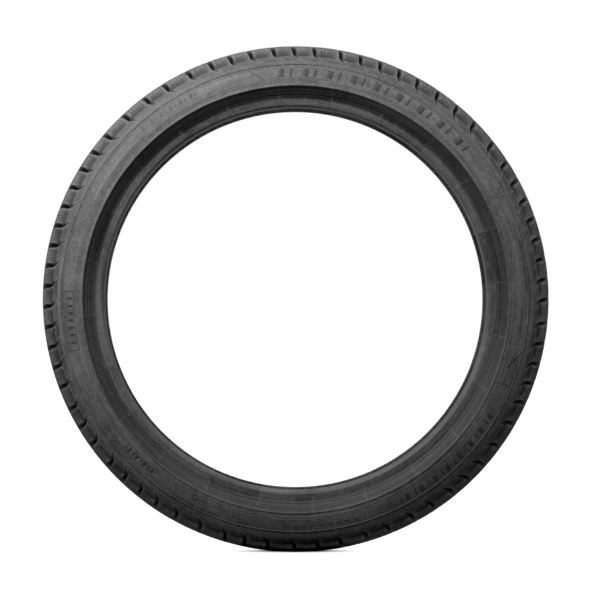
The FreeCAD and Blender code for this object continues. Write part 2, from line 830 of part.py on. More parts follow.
def toe_guards():
    """Rubber of the bead toe, between the land and the end of the liner."""
    start = run_foot(LINER)
    edges = [
        Line(run_foot(PLY)),
        Arc(around_bead(PLY_OUT, "split_angle"), PLY_OUT, False),
        Line(Spot(dim("land_inner_half"), dim("bore_radius"))),
        Line(Spot(dim("toe_half"), dim("toe_radius"))),
        Line(Spot(dim("toe_back_half"), dim("toe_back_radius"))),
        Line(start),
    ]
    return ring_pair("toe_guard", start, edges)


def sidewalls():
    """Sidewall rubber with the rim-protector rib at its foot."""
    rib_top = Spot(dim("rib_top_half"), dim("rib_top_radius"))
    rib_under = Spot(dim("rib_under_half"), dim("rib_under_radius"))
    casing_shoulder = dim("cavity_shoulder_radius") + INNER_BELT
    end_angle = dim("turnup_end_angle")
    edges = [
        Arc(rib_top, dim("sidewall_radius"), True),
        Arc(rib_under, dim("rib_tip_radius"), True),
        Arc(rim_line, dim("hollow_radius"), False),
        Line(polar(inner_side, TURNUP_OUT, dim("strip_top_angle"))),
        Arc(polar(inner_side, TURNUP_OUT, end_angle), TURNUP_OUT, False),
        Line(polar(inner_side, CASING_FACE, end_angle)),
        Arc(polar(inner_side, CASING_FACE, dim("cavity_side_angle")), CASING_FACE, False),
        Arc(
            polar(inner_shoulder, casing_shoulder, dim("cushion_end_angle")),
            casing_shoulder,
            False,
        ),
        Line(on_crown(INNER_BELT, dim("belt_package_half"))),
        Line(wing_foot),
    ]
    return ring_pair("sidewall", wing_foot, edges)


# --------------------------------------------------------------- building and writing


def build():
    nodes = [tread_cap(), tread_base()]
    nodes += tread_wings() + belts() + cap_edge_strips() + belt_edge_gums()
    nodes += belt_cushions()
    nodes += [
        carcass_ply(),
        lining_layer("tie_gum", TIE, PLY),
        lining_layer("inner_liner", LINER, TIE),
    ]
    nodes += sidewalls() + rim_strips() + toe_guards()
    nodes += bead_apexes() + bead_flippers() + bead_chippers()
    nodes += [bead_wires("bead_core_outboard", -1), bead_wires("bead_core_inboard", 1)]
    document.recompute()
    return nodes


def check(nodes):
    """Stop if anything failed, or if a cut of the tread removed nothing."""
    for item in document.Objects:
        if "Invalid" in item.State or "Error" in item.State:
            raise RuntimeError(f"{item.Label} failed: {item.State}")
    for node in nodes:
        if node.Shape.isNull() or not node.Shape.isValid():
            raise RuntimeError(f"{node.Label} has no valid shape")
    steps = ["tread_cap_turned", "circumferential_groove_cut"]
    steps += [
        name + "_slot_row"
        for name in ("outboard_shoulder", "outboard_rib", "inboard_rib", "inboard_shoulder")
    ]
    volumes = [document.getObject(name).Shape.Volume for name in steps]
    for name, before, after in zip(steps[1:], volumes, volumes[1:]):
        if after > (1 - LEAST_CUT) * before:
            raise RuntimeError(f"{name} removed nothing")


def write(nodes):
    os.makedirs("parts", exist_ok=True)
    for node in nodes:
        node.Shape.exportStep(f"parts/{node.Label}.step")


nodes = build()
check(nodes)
write(nodes)
for node in nodes:
    print(f"{node.Label}: {len(node.Shape.Solids)} solid(s), {node.Shape.Volume / 1000:.1f} cm3")
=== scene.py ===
import json
import math
from dataclasses import dataclass

import bmesh
import bpy
import numpy as np
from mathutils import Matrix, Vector


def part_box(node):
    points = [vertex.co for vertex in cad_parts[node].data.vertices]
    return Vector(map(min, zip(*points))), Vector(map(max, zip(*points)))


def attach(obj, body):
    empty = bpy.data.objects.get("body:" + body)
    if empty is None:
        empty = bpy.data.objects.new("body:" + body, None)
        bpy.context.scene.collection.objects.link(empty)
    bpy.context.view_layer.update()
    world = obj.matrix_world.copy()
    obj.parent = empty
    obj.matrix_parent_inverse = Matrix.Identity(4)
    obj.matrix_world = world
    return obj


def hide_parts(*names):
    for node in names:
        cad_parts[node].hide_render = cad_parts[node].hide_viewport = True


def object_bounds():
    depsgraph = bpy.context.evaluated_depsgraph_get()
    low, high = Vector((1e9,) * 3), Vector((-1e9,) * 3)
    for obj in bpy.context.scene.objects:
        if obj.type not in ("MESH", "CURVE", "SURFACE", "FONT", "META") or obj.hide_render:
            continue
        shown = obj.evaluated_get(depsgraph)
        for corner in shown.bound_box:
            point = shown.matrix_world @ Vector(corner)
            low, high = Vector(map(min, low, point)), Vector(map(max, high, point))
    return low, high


# The looks of a low-profile winter car tire, around its CAD frame.
#
# The tire's axis is Y and its outboard side faces -Y. In a section, "across" is the distance
# from the middle plane and "up" is the distance from the axis, both in millimetres. Angles
# around the tire are degrees, clockwise from the top as seen from the outboard side.

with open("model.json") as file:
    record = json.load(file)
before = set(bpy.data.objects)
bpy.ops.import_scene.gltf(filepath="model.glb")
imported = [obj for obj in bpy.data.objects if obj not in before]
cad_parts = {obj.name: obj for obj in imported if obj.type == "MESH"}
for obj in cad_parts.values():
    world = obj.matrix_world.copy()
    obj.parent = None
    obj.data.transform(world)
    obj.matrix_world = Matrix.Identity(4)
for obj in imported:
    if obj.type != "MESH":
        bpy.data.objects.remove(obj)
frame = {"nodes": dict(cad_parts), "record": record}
cad_low, cad_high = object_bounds()

# ---------- sizes, in millimetres

MM = 0.001
OUTBOARD, INBOARD = -1, 1
SIDES = {"outboard": OUTBOARD, "inboard": INBOARD}

mounts = {mount["name"]: mount for mount in frame["record"]["mounts"]}
BORE = mounts["bead_seat_inboard"]["dims"]["r_mm"]
HEEL_HALF = mounts["rim_flange_face_inboard"]["pos_m"][1] / MM
BEAD_LAND = 14.0
LAND_INNER = HEEL_HALF - BEAD_LAND
TOE_BACK = (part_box("toe_guard_inboard")[0].y / MM, 240.6)
TOE = (TOE_BACK[0] + 0.5, 239.7)
HEEL_RADIUS = 4.5

OUTER = 319.5
CROWN_RADIUS = 3600.0
CROWN_END = 1.4676
CORNER_RADIUS = 10.0
FLANK_ANGLE = 66.8
WING_FOOT = (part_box("tread_wing_inboard")[1].y / MM, 297.1)
WING_TOP_SHARE = 0.848
SLOT_END_SHARE = 0.795
BELT_PACKAGE = 92.0
BASE_HALF = 84.0
CAP_GAUGE = 8.6
BASE_GAUGE = 2.0

RIB_TOP = (114.9, 270.2)
RIB_TIP_RADIUS = 1.5
SIDEWALL_RADIUS = 90.0
RIB_UNDER = (114.6, 267.5)
RIM_LINE = (107.4, 258.6)
FLANGE_TOP = 251.0
HOLLOW_RADIUS = 34.0
FLANGE_RADIUS = 9.4

LINER_GAUGE = 1.2
PLY_UNDER = 2.2
PLY_OVER = 3.4
CROWN_STACK = 17.6
BELT_LOW = CROWN_STACK - PLY_OVER
CAVITY_SHOULDER = 20.0
CAVITY_SHOULDER_ANGLE = 1.325
CAVITY_SIDE = 22.0
CAVITY_SIDE_ANGLE = 75.0
CAVITY_FOOT_ANGLE = 124.0
CAVITY_RUN = 17.4
CUSHION_END_ANGLE = 43.0
PLY_OUT = 5.3
CHIPPER_OUT = 6.0
TURNUP_IN = CAVITY_SIDE + PLY_OVER + 0.6
TURNUP_OUT = TURNUP_IN + 1.2
TURNUP_END_ANGLE = 80.0
STRIP_TOP_ANGLE = 105.0
APEX_TIP_ANGLE = 119.5
BEAD_OUT_ANGLE = 100.0
SPLIT_ANGLE = 195.0
CHIPPER_SHARE = 0.7

GROOVES = (19.0, 54.0)
GROOVE_MOUTH = 9.0
GROOVE_FLOOR = 6.4
GROOVE_DEPTH = 7.9
WEAR_BAR = 1.6
FIRST_WEAR_BAR = 6
WEAR_BAR_PITCHES = 12
RIB_SLOT_DEPTH = 6.6
RIB_SLOT_HALF = 1.8
RIB_SLOT_ANGLE = 32.0
SHOULDER_SLOT_HALF = 3.0
SLOT_RAMP_HALF = 88.0
SLOT_PIVOT = 95.0
SLOT_SLANT = 0.38
SLOT_SLANT_GROWTH = 0.00325
BLOCK_CHAMFER = 0.6
SIPES = 5
SIPE_HALF = 0.22
SIPE_DEPTH = 5.5

# Two places (across, up) on the floor of a shoulder slot, between its ramp and its end
SLOT_FLOOR = ((96.0, 307.6), (102.0, 304.6))
# Up, sweep and half width of the slot, and step of the block face, going up the flank
FLANK_LINES = (
    (302.7, 3.7, 1.5, 0.0),
    (303.0, 3.3, 1.6, 0.7),
    (305.9, 1.2, 2.6, 0.7),
    (306.2, 1.0, 2.7, 1.8),
    (309.3, 0.2, 3.0, 1.3),
)
STEP_EDGE_UP = 305.9
# Angle around the rounded corner of a block, and depth of its sipes there
CORNER_LINES = ((50.0, 1.2), (32.0, 2.4), (16.0, 4.0))
# Place across a shoulder block, and sideways wave of its sipes there
SHOULDER_LINES = ((86.0, 0.0), (79.0, 0.9), (72.0, -0.9), (65.0, 0.9))
# Sideways waves of the sipes along lines spread evenly across a rib
RIB_WAVES = (0.0, 1.1, -1.1, 1.1, -1.1, 0.0)
CENTRE_WAVES = (0.0, 1.4, -1.4, 1.4, 0.0)
CENTRE_SIPE_SLANT = -0.25
# The step in a block fades out along the block, between these shares of its length
STEP_ENDS, STEP_FADES = 0.92, 0.62
# Painted shade on a stepped-back block face, per mm of its step
STEP_SHADE_PER_MM = 0.2

PITCH_ORDER = "LSSSSMMMLMSSSSSSSMSSSSMLMSSMMLMLMMLMSLLMSSSLSSMSSSSSSSSSSSSSLLMLMSSMSS"
PITCH_LENGTH = {"S": 4.80, "M": 5.50, "L": 6.25}
FIRST_SLOT = 4.0
ROW_SHIFT = 2.4

RING_STEPS = 720
HEEL_STEPS = 10
RING_SIDE = 0.8
VENTS = 24
FIRST_VENT = 10.3

PAD_SLANT = 0.16
# Widths of the pads, and place of the narrow one, as shares of their pitch
WIDE_PAD, NARROW_PAD, NARROW_PAD_AT = 0.34, 0.12, 0.42
PAD_HEIGHT = 0.3
DASH_SHARE = 0.6


# ---------- section geometry


def polar(centre, radius, angle):
    """The point at that distance from a centre, in a direction taken from the upright."""
    turn = math.radians(angle)
    return (centre[0] + radius * math.sin(turn), centre[1] + radius * math.cos(turn))


def between(start, end, share):
    return (start[0] + share * (end[0] - start[0]), start[1] + share * (end[1] - start[1]))


def arc(start, end, radius, clockwise, steps):
    """The points of a round edge after its start, up to and with its end."""
    first, last = np.array(start), np.array(end)
    chord = last - first
    length = np.linalg.norm(chord)
    left = np.array((-chord[1], chord[0])) / length
    reach = math.sqrt(max(radius**2 - (length / 2) ** 2, 0.0))
    centre = (first + last) / 2 + left * (-reach if clockwise else reach)
    turn = 2 * math.asin(min(length / 2 / radius, 1.0)) * (-1 if clockwise else 1)
    arm = first - centre
    points = []
    for step in range(1, steps + 1):
        angle = turn * step / steps
        points.append((
            centre[0] + arm[0] * math.cos(angle) - arm[1] * math.sin(angle),
            centre[1] + arm[0] * math.sin(angle) + arm[1] * math.cos(angle),
        ))
    return points


crown_centre = (0.0, OUTER - CROWN_RADIUS)
corner_centre = polar(crown_centre, CROWN_RADIUS - CORNER_RADIUS, CROWN_END)
corner_start = polar(crown_centre, CROWN_RADIUS, CROWN_END)
corner_end = polar(corner_centre, CORNER_RADIUS, FLANK_ANGLE)
wing_top = between(corner_end, WING_FOOT, WING_TOP_SHARE)
slot_end = between(corner_end, WING_FOOT, SLOT_END_SHARE)

cavity_crown = CROWN_RADIUS - CROWN_STACK
inner_shoulder = polar(crown_centre, cavity_crown - CAVITY_SHOULDER, CAVITY_SHOULDER_ANGLE)
inner_side = polar(inner_shoulder, CAVITY_SHOULDER - CAVITY_SIDE, CAVITY_SIDE_ANGLE)


def crown_up(across, below=0.0):
    """Distance from the axis of a crown surface that far below the tread surface."""
    return crown_centre[1] + math.sqrt((CROWN_RADIUS - below) ** 2 - across**2)


def run_foot(height):
    """Lower end of the straight run of the casing layer at that height."""
    top = polar(inner_side, CAVITY_SIDE + height, CAVITY_FOOT_ANGLE)
    return polar(top, CAVITY_RUN, CAVITY_FOOT_ANGLE + 90.0)


bead_centre = polar(run_foot(0.0), PLY_UNDER + PLY_OUT, CAVITY_FOOT_ANGLE)


def apex_side(radius_at_bead, radius_at_tip, share):
    low = polar(bead_centre, radius_at_bead, BEAD_OUT_ANGLE)
    high = polar(inner_side, radius_at_tip, APEX_TIP_ANGLE)
    return between(low, high, share)


# ---------- making meshes


def new_object(name, data):
    made = bpy.data.objects.new(name, data)
    bpy.context.scene.collection.objects.link(made)
    return made


def make_object(name, points, quads, smooth_angle=38.0):
    """An object from points in millimetres and four-cornered faces."""
    mesh = bpy.data.meshes.new(name)
    mesh.vertices.add(len(points))
    mesh.vertices.foreach_set("co", (points * MM).astype(np.float32).ravel())
    mesh.loops.add(quads.size)
    mesh.loops.foreach_set("vertex_index", quads.astype(np.int32).ravel())
    mesh.polygons.add(len(quads))
    mesh.polygons.foreach_set("loop_start", np.arange(0, quads.size, 4, dtype=np.int32))
    mesh.update(calc_edges=True)
    mesh.validate()
    mesh.shade_smooth()
    mesh.set_sharp_from_angle(angle=math.radians(smooth_angle))
    return new_object(name, mesh)


def closed_grid(columns, rows):
    """The faces of a grid that closes on itself both ways, columns first."""
    column, row = np.meshgrid(np.arange(columns), np.arange(rows), indexing="ij")
    after, above = (column + 1) % columns, (row + 1) % rows
    corners = [
        column * rows + row, after * rows + row,
        after * rows + above, column * rows + above,
    ]
    return np.stack(corners, axis=-1).reshape(-1, 4)


def turned(name, outline, side=INBOARD, steps=RING_STEPS):
    """A ring turned about the tire's axis from a closed outline."""
    section = np.array(outline)
    across, up = section[:, 0], section[:, 1]
    area = np.sum(across * np.roll(up, -1) - np.roll(across, -1) * up)
    if (area > 0) == (side > 0):
        section = section[::-1]
    turn = np.radians(np.arange(steps) * 360.0 / steps)[:, None]
    across = side * section[:, 0] * np.ones_like(turn)
    up = section[:, 1]
    points = np.stack([up * np.sin(turn), across, up * np.cos(turn)], axis=-1)
    return make_object(name, points.reshape(-1, 3), closed_grid(steps, len(section)))


def finish_piece(piece, slot, material, *nodes):
    """Give a piece its material and its body, and hide the CAD nodes it stands for; slot is not
    used.
    """
    piece.data.materials.append(material)
    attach(piece, "root")
    if nodes:
        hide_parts(*nodes)


# ---------- the tread


@dataclass
class Row:
    """One line of tread points around the tire, and what the columns do along it."""

    across: float
    up: float
    start: float
    shift: float
    slot_half: float
    slot_drop: float
    tilt: float = 0.0
    sipe: float = 0.0
    wave: float = 0.0
    recess: float = 0.0
    sweep: float = 0.0
    floor: bool = False
    # How much paler the row is made: edge wear with a painted highlight
    edge: float = 0.0


def shoulder_shift(half):
    """How far a shoulder slot has moved around the tire; its slant grows outwards."""
    out = half - SLOT_PIVOT
    return SLOT_SLANT * out + SLOT_SLANT_GROWTH * out * out


def slot_floor_up(half):
    """Distance from the axis of the bottom of a shoulder slot."""
    if half <= SLOT_RAMP_HALF:
        return crown_up(half, GROOVE_DEPTH)
    ramp = (SLOT_RAMP_HALF, crown_up(SLOT_RAMP_HALF, GROOVE_DEPTH))
    halves, ups = zip(ramp, *SLOT_FLOOR, slot_end)
    return float(np.interp(half, halves, ups))


def shoulder_row(side, spot, **more):
    """One line of a shoulder, at a spot (across, up) of the outer half."""
    half, up = spot
    start = FIRST_SLOT if side == OUTBOARD else FIRST_SLOT + 2 * ROW_SHIFT
    shift = -side * shoulder_shift(half)
    drop = max(up - slot_floor_up(half), 0.0) if half < slot_end[0] else 0.0
    more["tilt"] = side * more.pop("lean", 0.0)
    slot_half = more.pop("slot_half", SHOULDER_SLOT_HALF)
    return Row(side * half, up, start, shift, slot_half, drop, **more)


def flank_spot(up):
    """The place on the straight flank at that distance from the axis."""
    share = (corner_end[1] - up) / (corner_end[1] - WING_FOOT[1])
    return between(corner_end, WING_FOOT, share)


def shoulder_rows(side):
    """From the tread wing up the flank, over the corner and in to the outer groove."""
    def flank(spot, sweep, slot_half, **more):
        return shoulder_row(
            side, spot, lean=FLANK_ANGLE, sweep=sweep, slot_half=slot_half, **more
        )

    rows = [flank(wing_top, 6.8, 0.8), flank(slot_end, 6.2, 0.8)]
    for up, sweep, slot_half, recess in FLANK_LINES:
        # The step's edge is paled: edge wear with a painted highlight
        wear_and_highlight = 1.0 if up == STEP_EDGE_UP else 0.0
        rows.append(flank(flank_spot(up), sweep, slot_half, recess=recess, edge=wear_and_highlight))
    rows.append(flank(corner_end, 0.0, SHOULDER_SLOT_HALF, recess=0.15, sipe=0.6))
    # The rounded corner is paled all over: edge wear with a painted highlight
    for angle, sipe in CORNER_LINES:
        spot = polar(corner_centre, CORNER_RADIUS, angle)
        rows.append(shoulder_row(side, spot, lean=angle, sipe=sipe, edge=1.0))
    rows.append(shoulder_row(side, corner_start, sipe=SIPE_DEPTH, edge=0.2))
    for half, wave in SHOULDER_LINES:
        rows.append(shoulder_row(side, (half, crown_up(half)), sipe=SIPE_DEPTH, wave=wave))
    mouth = GROOVES[1] + GROOVE_MOUTH / 2
    rows.append(shoulder_row(side, (mouth, crown_up(mouth)), sipe=SIPE_DEPTH, edge=1.0))
    return rows if side == OUTBOARD else rows[::-1]


def rib(first, last, start, slope, slot_drop, waves):
    """A rib between two grooves, with wavy sipes on lines spread evenly across it."""
    middle = (first + last) / 2
    rows = []
    for step, wave in enumerate(waves):
        across = first + (last - first) * step / (len(waves) - 1)
        rows.append(Row(
            across, crown_up(across), start, slope * (across - middle), RIB_SLOT_HALF,
            slot_drop, sipe=SIPE_DEPTH, wave=wave, edge=float(wave == 0.0),
        ))
    return rows


def rib_rows(side):
    """An intermediate rib, with slanted slots."""
    inner, outer = GROOVES[0] + GROOVE_MOUTH / 2, GROOVES[1] - GROOVE_MOUTH / 2
    first, last = sorted((side * inner, side * outer))
    start = FIRST_SLOT - side * ROW_SHIFT
    slope = math.tan(math.radians(RIB_SLOT_ANGLE))
    return rib(first, last, start, slope, RIB_SLOT_DEPTH, RIB_WAVES)


def centre_rows():
    """The centre rib, which has sipes and no slots."""
    half = GROOVES[0] - GROOVE_MOUTH / 2
    return rib(-half, half, FIRST_SLOT, CENTRE_SIPE_SLANT, 0.0, CENTRE_WAVES)


def groove_rows(centre, before, after):
    """The floor of a groove, whose two lines follow the ribs on either side of it."""
    rows = []
    for offset, beside in ((-GROOVE_FLOOR / 2, before), (GROOVE_FLOOR / 2, after)):
        across = centre + offset
        rows.append(Row(
            across, crown_up(across), beside.start, beside.shift, beside.slot_half,
            GROOVE_DEPTH, floor=True,
        ))
    return rows


def tread_rows():
    """All lines of the tread's outer surface, from the outboard wing to the inboard one."""
    rows = shoulder_rows(OUTBOARD)
    bands = (rib_rows(OUTBOARD), centre_rows(), rib_rows(INBOARD), shoulder_rows(INBOARD))
    centres = (-GROOVES[1], -GROOVES[0], *GROOVES)
    for centre, band in zip(centres, bands):
        rows += groove_rows(centre, rows[-1], band[0])
        rows += band
    return rows


def underside_rows(first, last):
    """Back under the tread, from its inboard edge to its outboard one."""
    places = (
        (BELT_PACKAGE, CAP_GAUGE + BASE_GAUGE), (BASE_HALF, CAP_GAUGE), (0.0, CAP_GAUGE),
        (-BASE_HALF, CAP_GAUGE), (-BELT_PACKAGE, CAP_GAUGE + BASE_GAUGE),
    )
    rows = []
    for across, below in places:
        up = crown_up(across, below)
        share = (last.across - across) / (last.across - first.across)
        start, shift = between((last.start, last.shift), (first.start, first.shift), share)
        rows.append(Row(across, up, start, shift, last.slot_half, 0.0))
    return rows


def pitch_starts():
    """Angle of each pitch's slot after the first one, and the full turn at the end."""
    lengths = [PITCH_LENGTH[kind] for kind in PITCH_ORDER]
    return np.concatenate([[0.0], np.cumsum(lengths)]) * 360.0 / sum(lengths)


def ledge_window(share):
    """How much of the step below a block there is, along the block."""
    return np.clip((STEP_ENDS - share) / (STEP_ENDS - STEP_FADES), 0.0, 1.0)


def row_columns(row, starts):
    """Angles, drops, kinds and places along the block of one row, for each column.

    A slot has seven columns: its chamfer, its steep side, its floor, its slanting side and
    its wider chamfer. The sipes of a block follow, three columns each.
    """
    per_mm = math.degrees(1.0 / row.up)
    drop = row.slot_drop
    chamfer = BLOCK_CHAMFER
    lip = min(chamfer, drop)
    half = row.slot_half
    spots = [
        -half - chamfer, -half, -0.75 * half, 0.15 * half, 0.7 * half, half,
        half + 1.5 * chamfer,
    ]
    spots = [spot + row.sweep for spot in spots]
    drops = [0.0, lip, 0.95 * drop, drop, 0.45 * drop, lip, 0.0]
    if row.floor:
        drops = [drop] * len(drops)
    here, after = starts[:-1], starts[1:]
    angles = [here + spot * per_mm for spot in spots]
    block_start = here + spots[-1] * per_mm
    block_end = after + spots[0] * per_mm
    kinds = ["slot"] * len(spots)
    shares = [1.0, 1.0, 0.5, 0.5, 0.5, 0.0, 0.0]
    for sipe in range(SIPES):
        share = (sipe + 1) / (SIPES + 1)
        middle = block_start + (block_end - block_start) * share + row.wave * per_mm
        for place, depth in ((-SIPE_HALF, 0.0), (0.0, row.sipe), (SIPE_HALF, 0.0)):
            angles.append(middle + place * per_mm)
            drops.append(drop if row.floor else depth)
            shares.append(share)
            kinds.append("sipe" if depth else "block")
    angles = np.stack(angles, axis=1) + row.start + row.shift * per_mm
    drops = np.tile(drops, (len(here), 1))
    if row.floor:
        bars = np.arange(FIRST_WEAR_BAR, len(here), WEAR_BAR_PITCHES)
        block = [index for index, kind in enumerate(kinds) if kind != "slot"]
        drops[np.ix_(bars, block)] = drop - WEAR_BAR
    return angles, drops, kinds, np.array(shares)


def row_points(row, starts):
    """Points, depths with painted shade for stepped-back faces, and edge wear with a painted
    highlight, of one row.
    """
    angles, drops, kinds, shares = row_columns(row, starts)
    lean = math.radians(row.tilt)
    out_across, out_up = math.sin(lean), math.cos(lean)
    along_normal = np.array([kind == "sipe" for kind in kinds])
    recess = row.recess * ledge_window(shares)
    inward = np.where(along_normal, drops, 0.0) + recess
    across = row.across - inward * out_across
    up = row.up - inward * out_up - np.where(along_normal, 0.0, drops)
    turn = np.radians(angles)
    points = np.stack([up * np.sin(turn), across, up * np.cos(turn)], axis=-1)
    depth = np.clip(drops / GROOVE_DEPTH, 0.0, 1.0)
    # Painted shade: a stepped-back face is darkened like a shallow cut
    depth = np.maximum(depth, STEP_SHADE_PER_MM * recess)
    edge_columns = np.array([1, 1, 0, 0, 0, 1, 1] + [0.25, 0, 0.25] * SIPES)
    # Edges paled: edge wear with a painted highlight
    edge = np.maximum(edge_columns, row.edge) * (depth < 0.3)
    return points.reshape(-1, 3), depth.ravel(), edge.ravel()


def tread():
    """The tread cap: one closed skin with its grooves, slots, sipes and steps."""
    rows = tread_rows()
    rows += underside_rows(rows[0], rows[-1])
    starts = pitch_starts()
    made = [row_points(row, starts) for row in rows]
    points = np.stack([line[0] for line in made], axis=1)
    quads = closed_grid(len(points), len(rows))
    piece = make_object("tread", points.reshape(-1, 3), quads, 30.0)
    # depth drives the painted shade in cuts and on steps; edge pales edges, from wear and a
    # painted highlight
    for index, name in ((1, "depth"), (2, "edge")):
        values = np.stack([line[index] for line in made], axis=1).astype(np.float32)
        layer = piece.data.attributes.new(name, "FLOAT", "POINT")
        layer.data.foreach_set("value", values.ravel())
    return piece


# ---------- sidewalls, beads and liner


def slope_along(ups, up_at, across_at, step):
    """How fast a path moves across for each mm up, taken over a step to either side."""
    above = np.interp(ups + step, up_at, across_at)
    below = np.interp(ups - step, up_at, across_at)
    return (above - below) / (2 * step)


def with_rings(path, rings):
    """A path that falls towards the axis, with rings raised on it or sunk into it.

    Each ring is its radius, width and height. RING_SIDE is how wide its slopes are per mm up.
    """
    path = np.array(path)
    across_at, up_at = path[::-1, 0], path[::-1, 1]
    ups = list(path[:, 1])
    for centre, width, height in rings:
        slope = abs(height) * RING_SIDE
        for reach in (width / 2, width / 2 + slope):
            ups += [centre - reach, centre + reach]
    kept = {round(up, 3) for up in ups if up_at[0] <= up <= up_at[-1]}
    ups = np.array(sorted(kept))[::-1]
    across = np.interp(ups, up_at, across_at)
    lift = np.zeros_like(ups)
    for centre, width, height in rings:
        slope = abs(height) * RING_SIDE
        away = np.abs(ups - centre)
        lift += height * np.clip((width / 2 + slope - away) / slope, 0.0, 1.0)
    lean = slope_along(ups, up_at, across_at, 0.05)
    size = np.sqrt(1 + lean**2)
    return list(zip(across + lift / size, ups - lift * lean / size))


def sidewall_face():
    """The smooth outer face of a sidewall, from the tread wing down to its rib."""
    return [WING_FOOT] + arc(WING_FOOT, RIB_TOP, SIDEWALL_RADIUS, True, 22)


def hollow_face():
    """The concave face under the rib, down to the rim line."""
    return [RIB_UNDER] + arc(RIB_UNDER, RIM_LINE, HOLLOW_RADIUS, False, 12)


def bead_face():
    """From the rim line down the bead face, around the heel to the land."""
    heel_top = (HEEL_HALF, BORE + HEEL_RADIUS)
    land = (HEEL_HALF - HEEL_RADIUS, BORE)
    points = [RIM_LINE]
    points += arc(RIM_LINE, (HEEL_HALF, FLANGE_TOP), FLANGE_RADIUS, False, 6)
    points += [between(points[-1], heel_top, 0.5), heel_top]
    return points + arc(heel_top, land, HEEL_RADIUS, True, HEEL_STEPS)


# Rings of each face: radius, width and height, which is below zero for a sunk one
SIDEWALL_RINGS = {
    OUTBOARD: [
        (296.2, 0.4, -0.3), (294.2, 0.7, -0.9), (292.4, 0.8, 0.3),
        (277.2, 0.5, 0.22), (274.6, 0.6, 0.3),
    ],
    INBOARD: [
        (296.2, 0.7, -0.9), (294.6, 1.0, 0.35), (288.0, 0.5, 0.25), (275.0, 0.6, 0.3),
    ],
}
HOLLOW_RINGS = [(265.0, 0.5, -0.3), (262.9, 0.8, 0.35), (261.4, 0.5, -0.3)]
BEAD_RINGS = [(257.2, 0.8, -0.5), (249.4, 0.4, 0.2), (246.8, 0.5, 0.25)]


def sidewall(name, side):
    """The outer rubber of one side, with the rim-protector rib and the hollow under it."""
    face = with_rings(sidewall_face(), SIDEWALL_RINGS[side])
    tip = arc(face[-1], RIB_UNDER, RIB_TIP_RADIUS, True, 6)
    hollow = with_rings(hollow_face(), HOLLOW_RINGS)
    casing = CAVITY_SIDE + PLY_OVER
    shoulder = CAVITY_SHOULDER + PLY_OVER
    inside = [polar(inner_side, TURNUP_OUT, STRIP_TOP_ANGLE)]
    end_out = polar(inner_side, TURNUP_OUT, TURNUP_END_ANGLE)
    end_in = polar(inner_side, casing, TURNUP_END_ANGLE)
    inside += arc(inside[-1], end_out, TURNUP_OUT, False, 5)
    inside.append(end_in)
    top = polar(inner_side, casing, CAVITY_SIDE_ANGLE)
    inside += arc(end_in, top, casing, False, 2)
    cushion = polar(inner_shoulder, shoulder, CUSHION_END_ANGLE)
    inside += arc(top, cushion, shoulder, False, 5)
    inside.append((BELT_PACKAGE, crown_up(BELT_PACKAGE, BELT_LOW)))
    return turned(name, face + tip[:-1] + hollow + inside, side)


def rim_strip(name, side):
    """The hard rubber over one bead: its face, its heel and its land."""
    face = bead_face()
    heel = len(face) - HEEL_STEPS
    face = with_rings(face[:heel], BEAD_RINGS) + face[heel:]
    inside = [(LAND_INNER, BORE), polar(bead_centre, PLY_OUT, SPLIT_ANGLE)]
    inside += arc(inside[-1], polar(bead_centre, PLY_OUT, 180.0), PLY_OUT, False, 2)
    inside.append(polar(bead_centre, CHIPPER_OUT, 180.0))
    turn = polar(bead_centre, CHIPPER_OUT, BEAD_OUT_ANGLE)
    inside += arc(inside[-1], turn, CHIPPER_OUT, False, 6)
    inside.append(apex_side(CHIPPER_OUT, TURNUP_OUT + 0.7, CHIPPER_SHARE))
    inside.append(apex_side(PLY_OUT, TURNUP_OUT, CHIPPER_SHARE))
    inside.append(apex_side(PLY_OUT, TURNUP_OUT, 1.0))
    strip_top = polar(inner_side, TURNUP_OUT, STRIP_TOP_ANGLE)
    inside += arc(inside[-1], strip_top, TURNUP_OUT, False, 3)
    return turned(name, face + inside, side)


def toe_guard(name, side):
    """The bead toe, with a small step and rounded corners."""
    start = run_foot(0.0)
    outline = [start, run_foot(PLY_UNDER)]
    split = polar(bead_centre, PLY_OUT, SPLIT_ANGLE)
    outline += arc(outline[-1], split, PLY_OUT, False, 6)
    land = (LAND_INNER, BORE)
    outline += [land, between(land, TOE, 0.45), between(land, TOE, 0.5)]
    outline += [(TOE[0] + 0.3, TOE[1] + 0.02), (TOE[0], TOE[1] + 0.2), TOE_BACK]
    outline += [between(TOE_BACK, start, 0.3), between(TOE_BACK, start, 0.65)]
    return turned(name, outline, side)


def casing_line(height):
    """Half of a casing layer, from the crown down to the bead."""
    shoulder, side = CAVITY_SHOULDER + height, CAVITY_SIDE + height
    points = [polar(inner_shoulder, shoulder, CAVITY_SHOULDER_ANGLE)]
    shoulder_end = polar(inner_shoulder, shoulder, CAVITY_SIDE_ANGLE)
    points += arc(points[-1], shoulder_end, shoulder, True, 10)
    points += arc(points[-1], polar(inner_side, side, CAVITY_FOOT_ANGLE), side, True, 8)
    foot = run_foot(height)
    return points + [between(points[-1], foot, 0.5), foot]


def inner_liner():
    """The airtight layer inside the tire, from bead to bead."""
    def crown(height):
        below = CROWN_STACK - height
        half = casing_line(height)[0][0]
        shares = np.linspace(-1, 1, 17)[1:-1]
        return [(half * share, crown_up(half * share, below)) for share in shares]

    def mirror(line):
        return [(-across, up) for across, up in line]

    low, high = casing_line(0.0), casing_line(LINER_GAUGE)
    outline = mirror(high)[::-1] + crown(LINER_GAUGE) + high
    outline += low[::-1] + crown(0.0)[::-1] + mirror(low)
    return turned("inner_liner_skin", outline, steps=360)


# ---------- raised lines and marks


